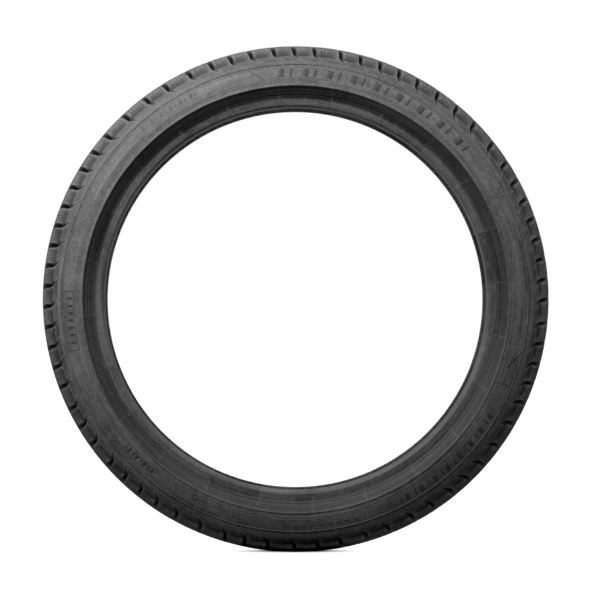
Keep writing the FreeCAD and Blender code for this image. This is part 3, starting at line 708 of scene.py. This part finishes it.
class SideSurface:
    """The outer face of one side of the tire, on which raised lines are laid."""

    def __init__(self, side):
        self.side = side
        bead = bead_face()[1:1 - HEEL_STEPS]
        line = np.array(sidewall_face() + hollow_face() + bead)
        self.across, self.up = line[np.argsort(line[:, 1])].T

    def place(self, angle, up, lift):
        """The point at that angle and radius, lifted that far off the surface."""
        across = np.interp(up, self.up, self.across)
        lean = slope_along(up, self.up, self.across, 0.3)
        size = math.sqrt(1 + lean * lean)
        across += lift / size
        up -= lift * lean / size
        turn = math.radians(angle)
        return (up * math.sin(turn), self.side * across, up * math.cos(turn))


class Relief:
    """Raised lines collected for one object: each is a closed bar on the surface."""

    SUNK = -0.35
    TOP_SHARE = 0.36
    LONGEST_PART = 2.5

    def __init__(self, surface):
        self.surface = surface
        self.points = []
        self.quads = []

    def line(self, path, width, height, closed=False):
        """A bar along a path of (angle, radius) points."""
        first = len(self.points)
        count = len(path)
        for index, (angle, up) in enumerate(path):
            before = path[(index - 1) % count] if closed or index else path[0]
            after = path[(index + 1) % count] if closed or index < count - 1 else path[-1]
            per_mm = math.degrees(1.0 / up)
            along = (after[0] - before[0]) / per_mm
            rise = after[1] - before[1]
            size = math.hypot(along, rise) or 1.0
            side_along, side_up = -rise / size, along / size
            for reach, lift in (
                (-width / 2, self.SUNK), (-width * self.TOP_SHARE, height),
                (width * self.TOP_SHARE, height), (width / 2, self.SUNK),
            ):
                self.points.append(self.surface.place(
                    angle + reach * side_along * per_mm, up + reach * side_up, lift
                ))
        for index in range(count if closed else count - 1):
            here = first + 4 * index
            after = first + 4 * ((index + 1) % count)
            for corner in range(4):
                beside = (corner + 1) % 4
                self.quads.append((here + corner, after + corner, after + beside, here + beside))
        if not closed:
            last = first + 4 * (count - 1)
            self.quads.append((first, first + 1, first + 2, first + 3))
            self.quads.append((last + 3, last + 2, last + 1, last))

    def steps(self, start, end):
        """Points from a start up to an end, left out, in steps short enough to curve."""
        per_mm = math.degrees(1.0 / start[1])
        length = math.hypot((end[0] - start[0]) / per_mm, end[1] - start[1])
        parts = max(int(length / self.LONGEST_PART), 1)
        return [between(start, end, step / parts) for step in range(parts)]

    def bar(self, start, end, width=0.7, height=0.4):
        """A bar between two (angle, radius) points."""
        self.line(self.steps(start, end) + [between(start, end, 1.0)], width, height)

    def frame_box(self, start, end, low, high, slant, width, height):
        """A closed four-sided outline, leaning by slant degrees."""
        corners = [(start, low), (start + slant, high), (end + slant, high), (end, low)]
        path = []
        for here, after in zip(corners, corners[1:] + corners[:1]):
            path += self.steps(here, after)
        self.line(path, width, height, closed=True)

    def circle(self, angle, up, radius, width=0.7, height=0.4):
        """A raised ring around a point."""
        per_mm = math.degrees(1.0 / up)
        turns = [2 * math.pi * step / 20 for step in range(20)]
        path = [
            (angle + radius * math.cos(turn) * per_mm, up + radius * math.sin(turn))
            for turn in turns
        ]
        self.line(path, width, height, closed=True)

    def piece(self, name):
        """One object of all the lines, with their faces turned outwards."""
        made = make_object(name, np.array(self.points), np.array(self.quads))
        mesh = bmesh.new()
        mesh.from_mesh(made.data)
        bmesh.ops.recalc_face_normals(mesh, faces=mesh.faces)
        mesh.to_mesh(made.data)
        mesh.free()
        return made


def vent_lines(side):
    """Thin ribs from the mould's vents, across the bead face and the hollow.

    Each has a fork at its lower end, a short length above the rib and a round vent stub.
    """
    relief = Relief(SideSurface(side))
    low, high = 249.0, 268.6
    fork_top, fork_end, fork_turn = 256.2, 252.4, 0.55
    upper_low, upper_high = 273.4, 275.8
    stub_up, stub_step, stub_radius = 262.0, 0.8, 0.55
    for index in range(VENTS):
        angle = FIRST_VENT + index * 360.0 / VENTS
        relief.bar((angle, low), (angle, high), 0.7, 0.35)
        for turn in (fork_turn, -fork_turn):
            relief.bar((angle, fork_top), (angle + turn, fork_end), 0.6, 0.3)
        relief.bar((angle, upper_low), (angle, upper_high), 0.6, 0.3)
        stub = stub_up + stub_step * (index % 3)
        relief.circle(angle + 0.5, stub, stub_radius, 0.7, 0.5)
    return relief


def slanted_plates(relief, start, pitch, count, low, high):
    """A run of plain leaning pads, a wide and a narrow one in turn."""
    per_degree = math.radians(1.0) * low
    lean = PAD_SLANT * (high - low) / per_degree
    for index in range(count):
        angle = start + index * pitch
        for turn, share in ((0.0, WIDE_PAD), (NARROW_PAD_AT, NARROW_PAD)):
            spot = angle + turn * pitch
            width = share * pitch * per_degree
            relief.bar((spot, low), (spot + lean, high), width, PAD_HEIGHT)


def ticks(relief, start, end, count, low, high, width=0.7):
    """Short even bars, in the place of small print."""
    for index in range(count):
        angle = start + (end - start) * index / max(count - 1, 1)
        relief.bar((angle, low), (angle, high), width, 0.35)


def dashes(relief, start, end, count, up):
    """Short bars around the tire, in the place of a line of print."""
    step = (end - start) / count
    for index in range(count):
        angle = start + index * step
        relief.bar((angle, up), (angle + DASH_SHARE * step, up), 0.8, 0.35)


# The marks below are plain shapes that can't be read. Their places are degrees around the
# tire and millimetres from its axis.


def outboard_marks():
    relief = Relief(SideSurface(OUTBOARD))
    slanted_plates(relief, -4.0, 6.2, 9, 280.2, 290.2)
    ticks(relief, 61.5, 63.5, 3, 286.5, 291.5)
    dashes(relief, 65.5, 73.0, 8, 283.0)
    ticks(relief, 75.5, 88.0, 30, 288.8, 291.6, width=0.5)
    dashes(relief, 92.0, 99.0, 9, 284.0)
    relief.bar((103.0, 292.0), (108.0, 278.0), 0.8, 0.4)
    relief.frame_box(105.0, 112.0, 281.0, 289.0, 0.6, 0.7, 0.35)
    slanted_plates(relief, 121.0, 4.2, 8, 281.5, 288.5)
    dashes(relief, 164.0, 184.0, 9, 285.0)
    ticks(relief, 200.0, 213.0, 22, 287.5, 291.0, width=0.6)
    relief.circle(207.0, 278.6, 3.4)
    slanted_plates(relief, 220.0, 2.6, 4, 279.0, 284.5)
    relief.frame_box(257.0, 272.0, 279.0, 289.0, 0.0, 0.8, 0.4)
    ticks(relief, 259.0, 270.2, 7, 281.0, 287.0, width=3.2)
    relief.bar((256.5, 291.2), (272.5, 291.2), 0.8, 0.4)
    relief.bar((256.5, 293.2), (272.5, 293.2), 0.8, 0.4)
    relief.frame_box(298.0, 316.0, 277.0, 279.4, 1.0, 0.6, 0.35)
    ticks(relief, 301.0, 322.0, 26, 273.9, 276.2)
    slanted_plates(relief, 318.0, 2.9, 6, 284.5, 290.0)
    relief.circle(337.0, 278.0, 3.0)
    relief.circle(337.0, 278.0, 1.3, 0.6, 0.35)
    dashes(relief, 339.5, 347.0, 8, 277.8)
    relief.bar((348.5, 291.5), (352.0, 277.0))
    return relief


def inboard_marks():
    relief = Relief(SideSurface(INBOARD))
    slanted_plates(relief, -28.0, 6.2, 9, 279.5, 286.5)
    slanted_plates(relief, 152.0, 6.2, 9, 279.5, 286.5)
    ticks(relief, 60.0, 84.0, 34, 280.0, 283.0)
    dashes(relief, 95.0, 120.0, 18, 282.0)
    relief.frame_box(240.0, 262.0, 278.5, 286.0, 0.0, 0.8, 0.4)
    ticks(relief, 242.0, 260.0, 14, 280.3, 284.2, width=0.9)
    ticks(relief, 280.0, 306.0, 36, 278.0, 280.5)
    return relief


# ---------- materials

# Noise scales are repeats per metre. A "dust" value runs from clean to dusty rubber.
STREAK_SCALE = 900.0
BROAD_STREAK_SCALE = 160.0
STREAK_REPEATS_AROUND = 2.4
# Radii over which the painted shade in the hollow under the rib fades in and out
HOLLOW_SHADE_LOW_EDGE = (0.2505, 0.2535)
HOLLOW_SHADE_HIGH_EDGE = (0.2670, 0.2692)
LINER_RIDGES_AROUND = 90.0
LINER_RIDGE_SLANT = 260.0

BRASSED_STEEL = (0.3, 0.22, 0.1, 1.0)
NYLON = (0.3, 0.27, 0.22, 1.0)
POLYESTER = (0.2, 0.18, 0.16, 1.0)
WOVEN_NYLON = (0.16, 0.15, 0.13, 1.0)
BRONZED_DARK = (0.42, 0.30, 0.16, 1.0)
BRONZED_LIGHT = (0.62, 0.47, 0.28, 1.0)


def grey(value, warmth=0.0):
    return (value * (1 + warmth), value, value * (1 - warmth), 1.0)


class Tree:
    """A node tree with short ways to add and join nodes."""

    def __init__(self, tree):
        self.tree = tree

    def put(self, value, socket):
        """Link another node's output to an input, or set the input's own value."""
        if isinstance(value, bpy.types.NodeSocket):
            self.tree.links.new(value, socket)
        else:
            socket.default_value = value

    def add(self, kind, inputs=None, **settings):
        node = self.tree.nodes.new(kind)
        for key, value in settings.items():
            setattr(node, key, value)
        for key, value in (inputs or {}).items():
            self.put(value, node.inputs[key])
        return node

    def math(self, operation, *values):
        inputs = dict(enumerate(values))
        return self.add("ShaderNodeMath", inputs, operation=operation).outputs[0]

    def total(self, *values):
        """The sum of several values."""
        result = values[0]
        for value in values[1:]:
            result = self.math("ADD", result, value)
        return result

    def vector(self, operation, *values):
        inputs = dict(enumerate(values))
        return self.add("ShaderNodeVectorMath", inputs, operation=operation).outputs

    def noise(self, vector, scale, detail=3.0, roughness=0.5):
        inputs = {"Vector": vector, "Scale": scale, "Detail": detail, "Roughness": roughness}
        return self.add("ShaderNodeTexNoise", inputs).outputs["Fac"]

    def ramp(self, value, low, high, start=0.0, end=1.0):
        """value from low to high becomes start to end, and stays there outside."""
        names = ("Value", "From Min", "From Max", "To Min", "To Max")
        inputs = dict(zip(names, (value, low, high, start, end)))
        return self.add("ShaderNodeMapRange", inputs).outputs[0]

    def mix(self, share, first, second):
        """A colour between two others."""
        inputs = {0: share, 6: first, 7: second}
        return self.add("ShaderNodeMix", inputs, data_type="RGBA").outputs[2]

    def bump(self, height, strength, distance, below=None):
        inputs = {"Height": height, "Strength": strength, "Distance": distance}
        if below is not None:
            inputs["Normal"] = below
        return self.add("ShaderNodeBump", inputs).outputs[0]

    def point(self):
        """The place on the tire, in the object's own coordinates."""
        return self.add("ShaderNodeTexCoord").outputs["Object"]

    def around(self, point):
        """A point's distance from the axis and its direction from it."""
        flat = self.vector("MULTIPLY", point, (1.0, 0.0, 1.0))[0]
        return self.vector("LENGTH", flat)[1], self.vector("NORMALIZE", flat)[0]

    def angle(self, point):
        parts = self.add("ShaderNodeSeparateXYZ", {0: point}).outputs
        return self.math("ARCTAN2", parts[0], parts[2])

    def along_axis(self, point):
        return self.add("ShaderNodeSeparateXYZ", {0: point}).outputs[1]

    def wave(self, point, around, along):
        """A sine with so many radians per radian around the tire and per metre along it."""
        turn = self.math("MULTIPLY", self.angle(point), around)
        lean = self.math("MULTIPLY", self.along_axis(point), along)
        return self.math("SINE", self.math("ADD", turn, lean))


class Material(Tree):
    """The node tree of a new material."""

    def __init__(self, name):
        self.material = bpy.data.materials.new(name)
        self.material.use_nodes = True
        super().__init__(self.material.node_tree)
        self.shader = self.tree.nodes["Principled BSDF"]

    def set(self, name, value):
        """Give an input of the shader its value or its texture."""
        self.put(value, self.shader.inputs[name])


def turned_streaks(nodes, point, scale):
    """Noise that is drawn out around the tire, in fine lines beside each other."""
    radius, direction = nodes.around(point)
    up = nodes.math("MULTIPLY", radius, scale)
    line = nodes.math("ADD", up, nodes.math("MULTIPLY", nodes.along_axis(point), scale))
    repeats = (STREAK_REPEATS_AROUND, 0.0, STREAK_REPEATS_AROUND)
    spread = nodes.vector("MULTIPLY", direction, repeats)[0]
    lift = nodes.add("ShaderNodeCombineXYZ", {1: line}).outputs[0]
    return nodes.noise(nodes.vector("ADD", spread, lift)[0], 1.0, 4.0, 0.6)


def segment_tone(nodes, point):
    """A tone of its own for each length between two vent lines."""
    pitch = 2 * math.pi / VENTS
    offset = nodes.math("SUBTRACT", nodes.angle(point), math.radians(FIRST_VENT))
    index = nodes.math("FLOOR", nodes.math("DIVIDE", offset, pitch))
    tone = nodes.add("ShaderNodeTexWhiteNoise", {"W": index}, noise_dimensions="1D")
    return tone.outputs["Value"]


def hollow_shade_mask(nodes, radius):
    """Where the painted shade goes: one in the hollow under the rim-protector rib and zero
    beside it.
    """
    above_bead = nodes.ramp(radius, *HOLLOW_SHADE_LOW_EDGE)
    below_rib = nodes.ramp(radius, *HOLLOW_SHADE_HIGH_EDGE, 1.0, 0.0)
    return nodes.math("MULTIPLY", above_bead, below_rib)


def rubber(name, dark, dusty, rough, streak=0.45, segments=0.0, hollow=0.0):
    """Moulded rubber: turned streaks, dust in patches and a fine grain.

    segments is how much the tone changes from one vent line to the next, and hollow is how
    bright the painted shade leaves the hollow under the rib, as a share of the rest.
    """
    nodes = Material(name)
    point = nodes.point()
    streaks = turned_streaks(nodes, point, STREAK_SCALE)
    broad = turned_streaks(nodes, point, BROAD_STREAK_SCALE)
    patches = nodes.noise(point, 14.0, 4.0, 0.6)
    clouds = nodes.noise(point, 90.0, 6.0, 0.8)
    specks = nodes.noise(point, 420.0, 3.0, 0.65)
    grain = nodes.noise(point, 1400.0, 2.0)
    dust = nodes.total(
        nodes.ramp(patches, 0.35, 0.7, 0.0, 0.35),
        nodes.ramp(clouds, 0.42, 0.66, 0.06, 0.48),
        nodes.ramp(specks, 0.5, 0.66, 0.08, 0.68),
        nodes.ramp(streaks, 0.4, 0.75, 0.0, streak),
        nodes.ramp(broad, 0.45, 0.7, 0.0, streak),
    )
    if segments:
        change = nodes.math("MULTIPLY", segment_tone(nodes, point), segments)
        dust = nodes.math("ADD", dust, nodes.math("SUBTRACT", change, segments / 2))
    tone = nodes.mix(nodes.ramp(dust, 0.0, 1.5), grey(dark), grey(dusty, 0.01))
    # Painted shade: the hollow under the rib is darkened as if the rib shaded it
    if hollow:
        hollow_shaded_tone = nodes.ramp(dust, 0.2, 1.4)
        hollow_shaded_tone = nodes.mix(hollow_shaded_tone, grey(hollow * dark), grey(hollow * dusty))
        tone = nodes.mix(hollow_shade_mask(nodes, nodes.around(point)[0]), tone, hollow_shaded_tone)
    nodes.set("Base Color", tone)
    nodes.set("Roughness", nodes.ramp(dust, 0.0, 1.0, rough - 0.08, rough + 0.1))
    lines = nodes.bump(streaks, 0.25, 0.0004)
    coarse = nodes.bump(specks, 0.25, 0.0004, lines)
    nodes.set("Normal", nodes.bump(grain, 0.2, 0.0002, coarse))
    return nodes.material


def tread_rubber():
    """Tread rubber: painted shade in its cuts and on its stepped faces, dusty on its faces, pale
    on its edges from wear and a painted highlight.
    """
    nodes = Material("tread_rubber")
    point = nodes.point()
    depth = nodes.add("ShaderNodeAttribute", attribute_name="depth").outputs["Fac"]
    edge = nodes.add("ShaderNodeAttribute", attribute_name="edge").outputs["Fac"]
    patches = nodes.noise(point, 30.0, 4.0, 0.6)
    specks = nodes.noise(point, 420.0, 3.0, 0.7)
    grain = nodes.noise(point, 1500.0, 2.0)
    # Dust, plus paler edges from wear and a painted highlight
    dust = nodes.total(
        nodes.ramp(patches, 0.35, 0.7, 0.0, 0.5),
        nodes.ramp(specks, 0.5, 0.75, 0.0, 0.35),
        nodes.math("MULTIPLY", edge, nodes.ramp(specks, 0.35, 0.6, 0.3, 0.9)),
    )
    face = nodes.mix(nodes.ramp(dust, 0.0, 1.2), grey(0.018), grey(0.14, 0.01))
    # Painted shade: cuts and stepped faces fall to near black
    cut_shade = nodes.ramp(depth, 0.06, 0.45)
    nodes.set("Base Color", nodes.mix(cut_shade, face, grey(0.004)))
    nodes.set("Roughness", nodes.ramp(dust, 0.0, 1.0, 0.52, 0.75))
    coarse = nodes.bump(specks, 0.25, 0.0004)
    nodes.set("Normal", nodes.bump(grain, 0.25, 0.0002, coarse))
    return nodes.material


def liner_rubber():
    """Butyl liner: smooth, slightly shiny, with the slanted ridges of the bladder."""
    nodes = Material("liner_rubber")
    point = nodes.point()
    ridge = nodes.wave(point, LINER_RIDGES_AROUND, LINER_RIDGE_SLANT)
    ridge = nodes.ramp(ridge, 0.7, 1.0)
    patches = nodes.noise(point, 18.0, 4.0, 0.6)
    tone = nodes.mix(nodes.ramp(patches, 0.35, 0.7), grey(0.03), grey(0.06))
    nodes.set("Base Color", tone)
    nodes.set("Roughness", nodes.ramp(patches, 0.3, 0.7, 0.4, 0.58))
    grain = nodes.bump(nodes.noise(point, 900.0), 0.15, 0.0002)
    nodes.set("Normal", nodes.bump(ridge, 0.5, 0.0006, grain))
    return nodes.material


def cord_rubber(name, cord_tone, around, along):
    """Cords side by side in rubber, at a slant to the tire's middle plane."""
    nodes = Material(name)
    point = nodes.point()
    cord = nodes.ramp(nodes.wave(point, around, along), -0.2, 0.6)
    bare = nodes.ramp(nodes.noise(point, 60.0, 3.0), 0.2, 0.6)
    share = nodes.math("MULTIPLY", cord, bare)
    nodes.set("Base Color", nodes.mix(share, grey(0.03), cord_tone))
    nodes.set("Roughness", nodes.ramp(cord, 0.0, 1.0, 0.65, 0.45))
    nodes.set("Normal", nodes.bump(cord, 0.5, 0.0005))
    return nodes.material


def bead_steel():
    """Bronze-coated drawn wire, with fine lines along it."""
    nodes = Material("bead_steel")
    lines = turned_streaks(nodes, nodes.point(), 4000.0)
    nodes.set("Base Color", nodes.mix(lines, BRONZED_DARK, BRONZED_LIGHT))
    nodes.set("Roughness", nodes.ramp(lines, 0.3, 0.7, 0.25, 0.42))
    nodes.set("Normal", nodes.bump(lines, 0.2, 0.0001))
    nodes.set("Metallic", 1.0)
    return nodes.material


# ---------- assembly


def build_pieces():
    """The pieces that replace CAD nodes, and the raised lines and marks on them."""
    # hollow= darkens the hollow under the rib with painted shade
    side_material = rubber("sidewall_rubber", 0.018, 0.16, 0.56, hollow=0.28)
    rim_material = rubber("rim_rubber", 0.016, 0.12, 0.5, segments=0.6, hollow=0.32)
    mark_material = rubber("raised_marks", 0.016, 0.05, 0.5, streak=0.2)
    line_material = rubber("vent_lines", 0.06, 0.15, 0.5, streak=0.2)
    finish_piece(tread(), "tread_rubber", tread_rubber(), "tread_cap")
    finish_piece(inner_liner(), "liner_rubber", liner_rubber(), "inner_liner")
    for label, side in SIDES.items():
        skins = (
            (sidewall, "sidewall", "sidewall_rubber", side_material),
            (rim_strip, "rim_strip", "rim_rubber", rim_material),
            (toe_guard, "toe_guard", "rim_rubber", rim_material),
        )
        for make, part, slot, material in skins:
            piece = make(f"{part}_skin_{label}", side)
            finish_piece(piece, slot, material, f"{part}_{label}")
        vents = vent_lines(side).piece(f"vent_lines_{label}")
        finish_piece(vents, "rim_rubber", line_material)
    for label, marks in (("outboard", outboard_marks), ("inboard", inboard_marks)):
        piece = marks().piece(f"side_marks_{label}")
        finish_piece(piece, "sidewall_rubber", mark_material)


def dress_cad_nodes():
    """The pieces inside the tire keep their CAD meshes and get their own materials."""
    by_node = {
        "belt_inner": cord_rubber("inner_belt_cords", BRASSED_STEEL, 900.0, 1200.0),
        "belt_outer": cord_rubber("outer_belt_cords", BRASSED_STEEL, 900.0, -1200.0),
        "cap_ply": cord_rubber("cap_ply_cords", NYLON, 0.0, 6000.0),
        "carcass_ply": cord_rubber("carcass_cords", POLYESTER, 1600.0, 0.0),
        "tie_gum": rubber("tie_gum", 0.03, 0.05, 0.6),
        "tread_base": rubber("base_rubber", 0.028, 0.05, 0.62),
    }
    gum = rubber("gum_rubber", 0.028, 0.05, 0.6)
    apex = rubber("apex_rubber", 0.025, 0.05, 0.5)
    fabric = cord_rubber("bead_fabric", WOVEN_NYLON, 1500.0, 2500.0)
    strips = cord_rubber("edge_strip_cords", NYLON, 0.0, 6000.0)
    steel = bead_steel()
    by_part = {
        "tread_wing": rubber("wing_rubber", 0.018, 0.16, 0.6),
        "cap_edge_strip": strips,
        "belt_edge_gum": gum,
        "belt_cushion": gum,
        "bead_apex": apex,
        "bead_flipper": fabric,
        "bead_chipper": fabric,
        "bead_core": steel,
    }
    for label in SIDES:
        for part, material in by_part.items():
            by_node[f"{part}_{label}"] = material
    for node, material in by_node.items():
        for place in frame["nodes"][node].material_slots:
            place.material = material


# ---------- floor, light and camera

FLOOR_HALF = 200.0
# Distances from the contact over which the floor's painted contact shadow fades to white
FLOOR_GLOWS = (0.03, 0.08)
FLOOR_SHADOW_FADE = (0.02, 0.07)
SHADE_HALF = (0.1, 0.14)
SHADE_LIFT = 0.0005
SHADE_CORNERS = 32
WALL_LIGHT = 0.7
FLOOR_LIGHT = 0.12


def flat_piece(name, corners):
    """A flat piece of the stage, with a matt material of its own."""
    mesh = bpy.data.meshes.new(name)
    mesh.from_pydata(corners, [], [tuple(range(len(corners)))])
    piece = new_object(name, mesh)
    nodes = Material(name)
    nodes.set("Specular IOR Level", 0.0)
    mesh.materials.append(nodes.material)
    return piece, nodes


def floor():
    """A white floor that only the camera sees, with a small painted shadow at the contact."""
    low = cad_low.z
    turns = ((-1, -1), (1, -1), (1, 1), (-1, 1))
    corners = [(FLOOR_HALF * x, FLOOR_HALF * y, low) for x, y in turns]
    piece, nodes = flat_piece("floor", corners)
    away = nodes.vector("DISTANCE", nodes.point(), (0.0, 0.0, low))[1]
    nodes.set("Roughness", 0.9)
    nodes.set("Emission Color", grey(1.0))
    # Painted contact shadow: glow and base colour fall to near black at the contact
    nodes.set("Emission Strength", nodes.ramp(away, *FLOOR_GLOWS))
    tone = nodes.mix(nodes.ramp(away, *FLOOR_SHADOW_FADE), grey(0.02), grey(0.92))
    nodes.set("Base Color", tone)
    piece.visible_diffuse = False
    piece.visible_glossy = False


def contact_shade():
    """A black patch under the tire, unseen, that keeps the floor's light off its contact."""
    up = cad_low.z + SHADE_LIFT
    half_x, half_y = SHADE_HALF
    turns = [2 * math.pi * step / SHADE_CORNERS for step in range(SHADE_CORNERS)]
    corners = [(half_x * math.sin(turn), half_y * math.cos(turn), up) for turn in turns]
    piece, nodes = flat_piece("contact_shade", corners)
    nodes.set("Base Color", grey(0.0))
    piece.visible_camera = False


def sky():
    """White to the camera; for light, a bright wall behind the tire and a dim floor."""
    world = bpy.data.worlds.new("studio")
    bpy.context.scene.world = world
    world.use_nodes = True
    nodes = Tree(world.node_tree)
    nodes.tree.nodes.clear()
    direction = nodes.add("ShaderNodeTexCoord").outputs["Generated"]
    parts = nodes.add("ShaderNodeSeparateXYZ", {0: direction}).outputs
    wall = nodes.ramp(parts[1], 0.2, 0.7, 0.0, WALL_LIGHT)
    below = nodes.ramp(parts[2], -0.16, 0.0, FLOOR_LIGHT, 0.0)
    glow = nodes.math("ADD", wall, below)
    light = nodes.add("ShaderNodeBackground", {0: grey(1.0), 1: glow}).outputs[0]
    white = nodes.add("ShaderNodeBackground", {0: grey(1.0)}).outputs[0]
    seen = nodes.add("ShaderNodeLightPath").outputs["Is Camera Ray"]
    mixed = nodes.add("ShaderNodeMixShader", {0: seen, 1: light, 2: white}).outputs[0]
    nodes.add("ShaderNodeOutputWorld", {0: mixed})


def aimed(name, data, place, target):
    """An object for a lamp or a camera, which looks from its place at a target."""
    holder = new_object(name, data)
    holder.location = place
    direction = Vector(target) - holder.location
    holder.rotation_euler = direction.to_track_quat("-Z", "Y").to_euler()
    return holder


def softbox(name, place, width, power, spread=180.0, target=(0.0, 0.0, 0.0)):
    """A square area light that the camera doesn't see."""
    lamp = bpy.data.lights.new(name, "AREA")
    lamp.shape = "RECTANGLE"
    lamp.size, lamp.size_y = width, width
    lamp.energy = power
    lamp.spread = math.radians(spread)
    aimed(name, lamp, place, target).visible_camera = False


def camera():
    """Close to the tire's axis, far enough away that its depth hardly shows."""
    lens = bpy.data.cameras.new("camera")
    lens.sensor_width = 36.0
    lens.lens = 496.2
    lens.shift_x, lens.shift_y = 0.0071, -0.0014
    lens.clip_end = 500.0
    holder = aimed("camera", lens, (-0.051, -10.5, -0.028), (0.0, -0.092, 0.0))
    bpy.context.scene.camera = holder


def stage():
    """The floor, the world, the lights and the camera."""
    bpy.context.scene.view_settings.view_transform = "Standard"
    floor()
    contact_shade()
    sky()
    softbox("key_softbox", (-0.5, -0.7, 0.95), width=0.4, power=10.7)
    softbox("left_softbox", (-0.9, -0.8, 0.7), width=0.5, power=9.0)
    softbox("right_softbox", (0.7, -0.9, 1.2), width=0.6, power=10.4)
    into_hole = {"spread": 108.0, "target": (0.0, 1.0, 0.0)}
    softbox("hole_light", (0.0, -0.16, 0.0), width=0.1, power=1.0, **into_hole)
    camera()


build_pieces()
dress_cad_nodes()
stage()
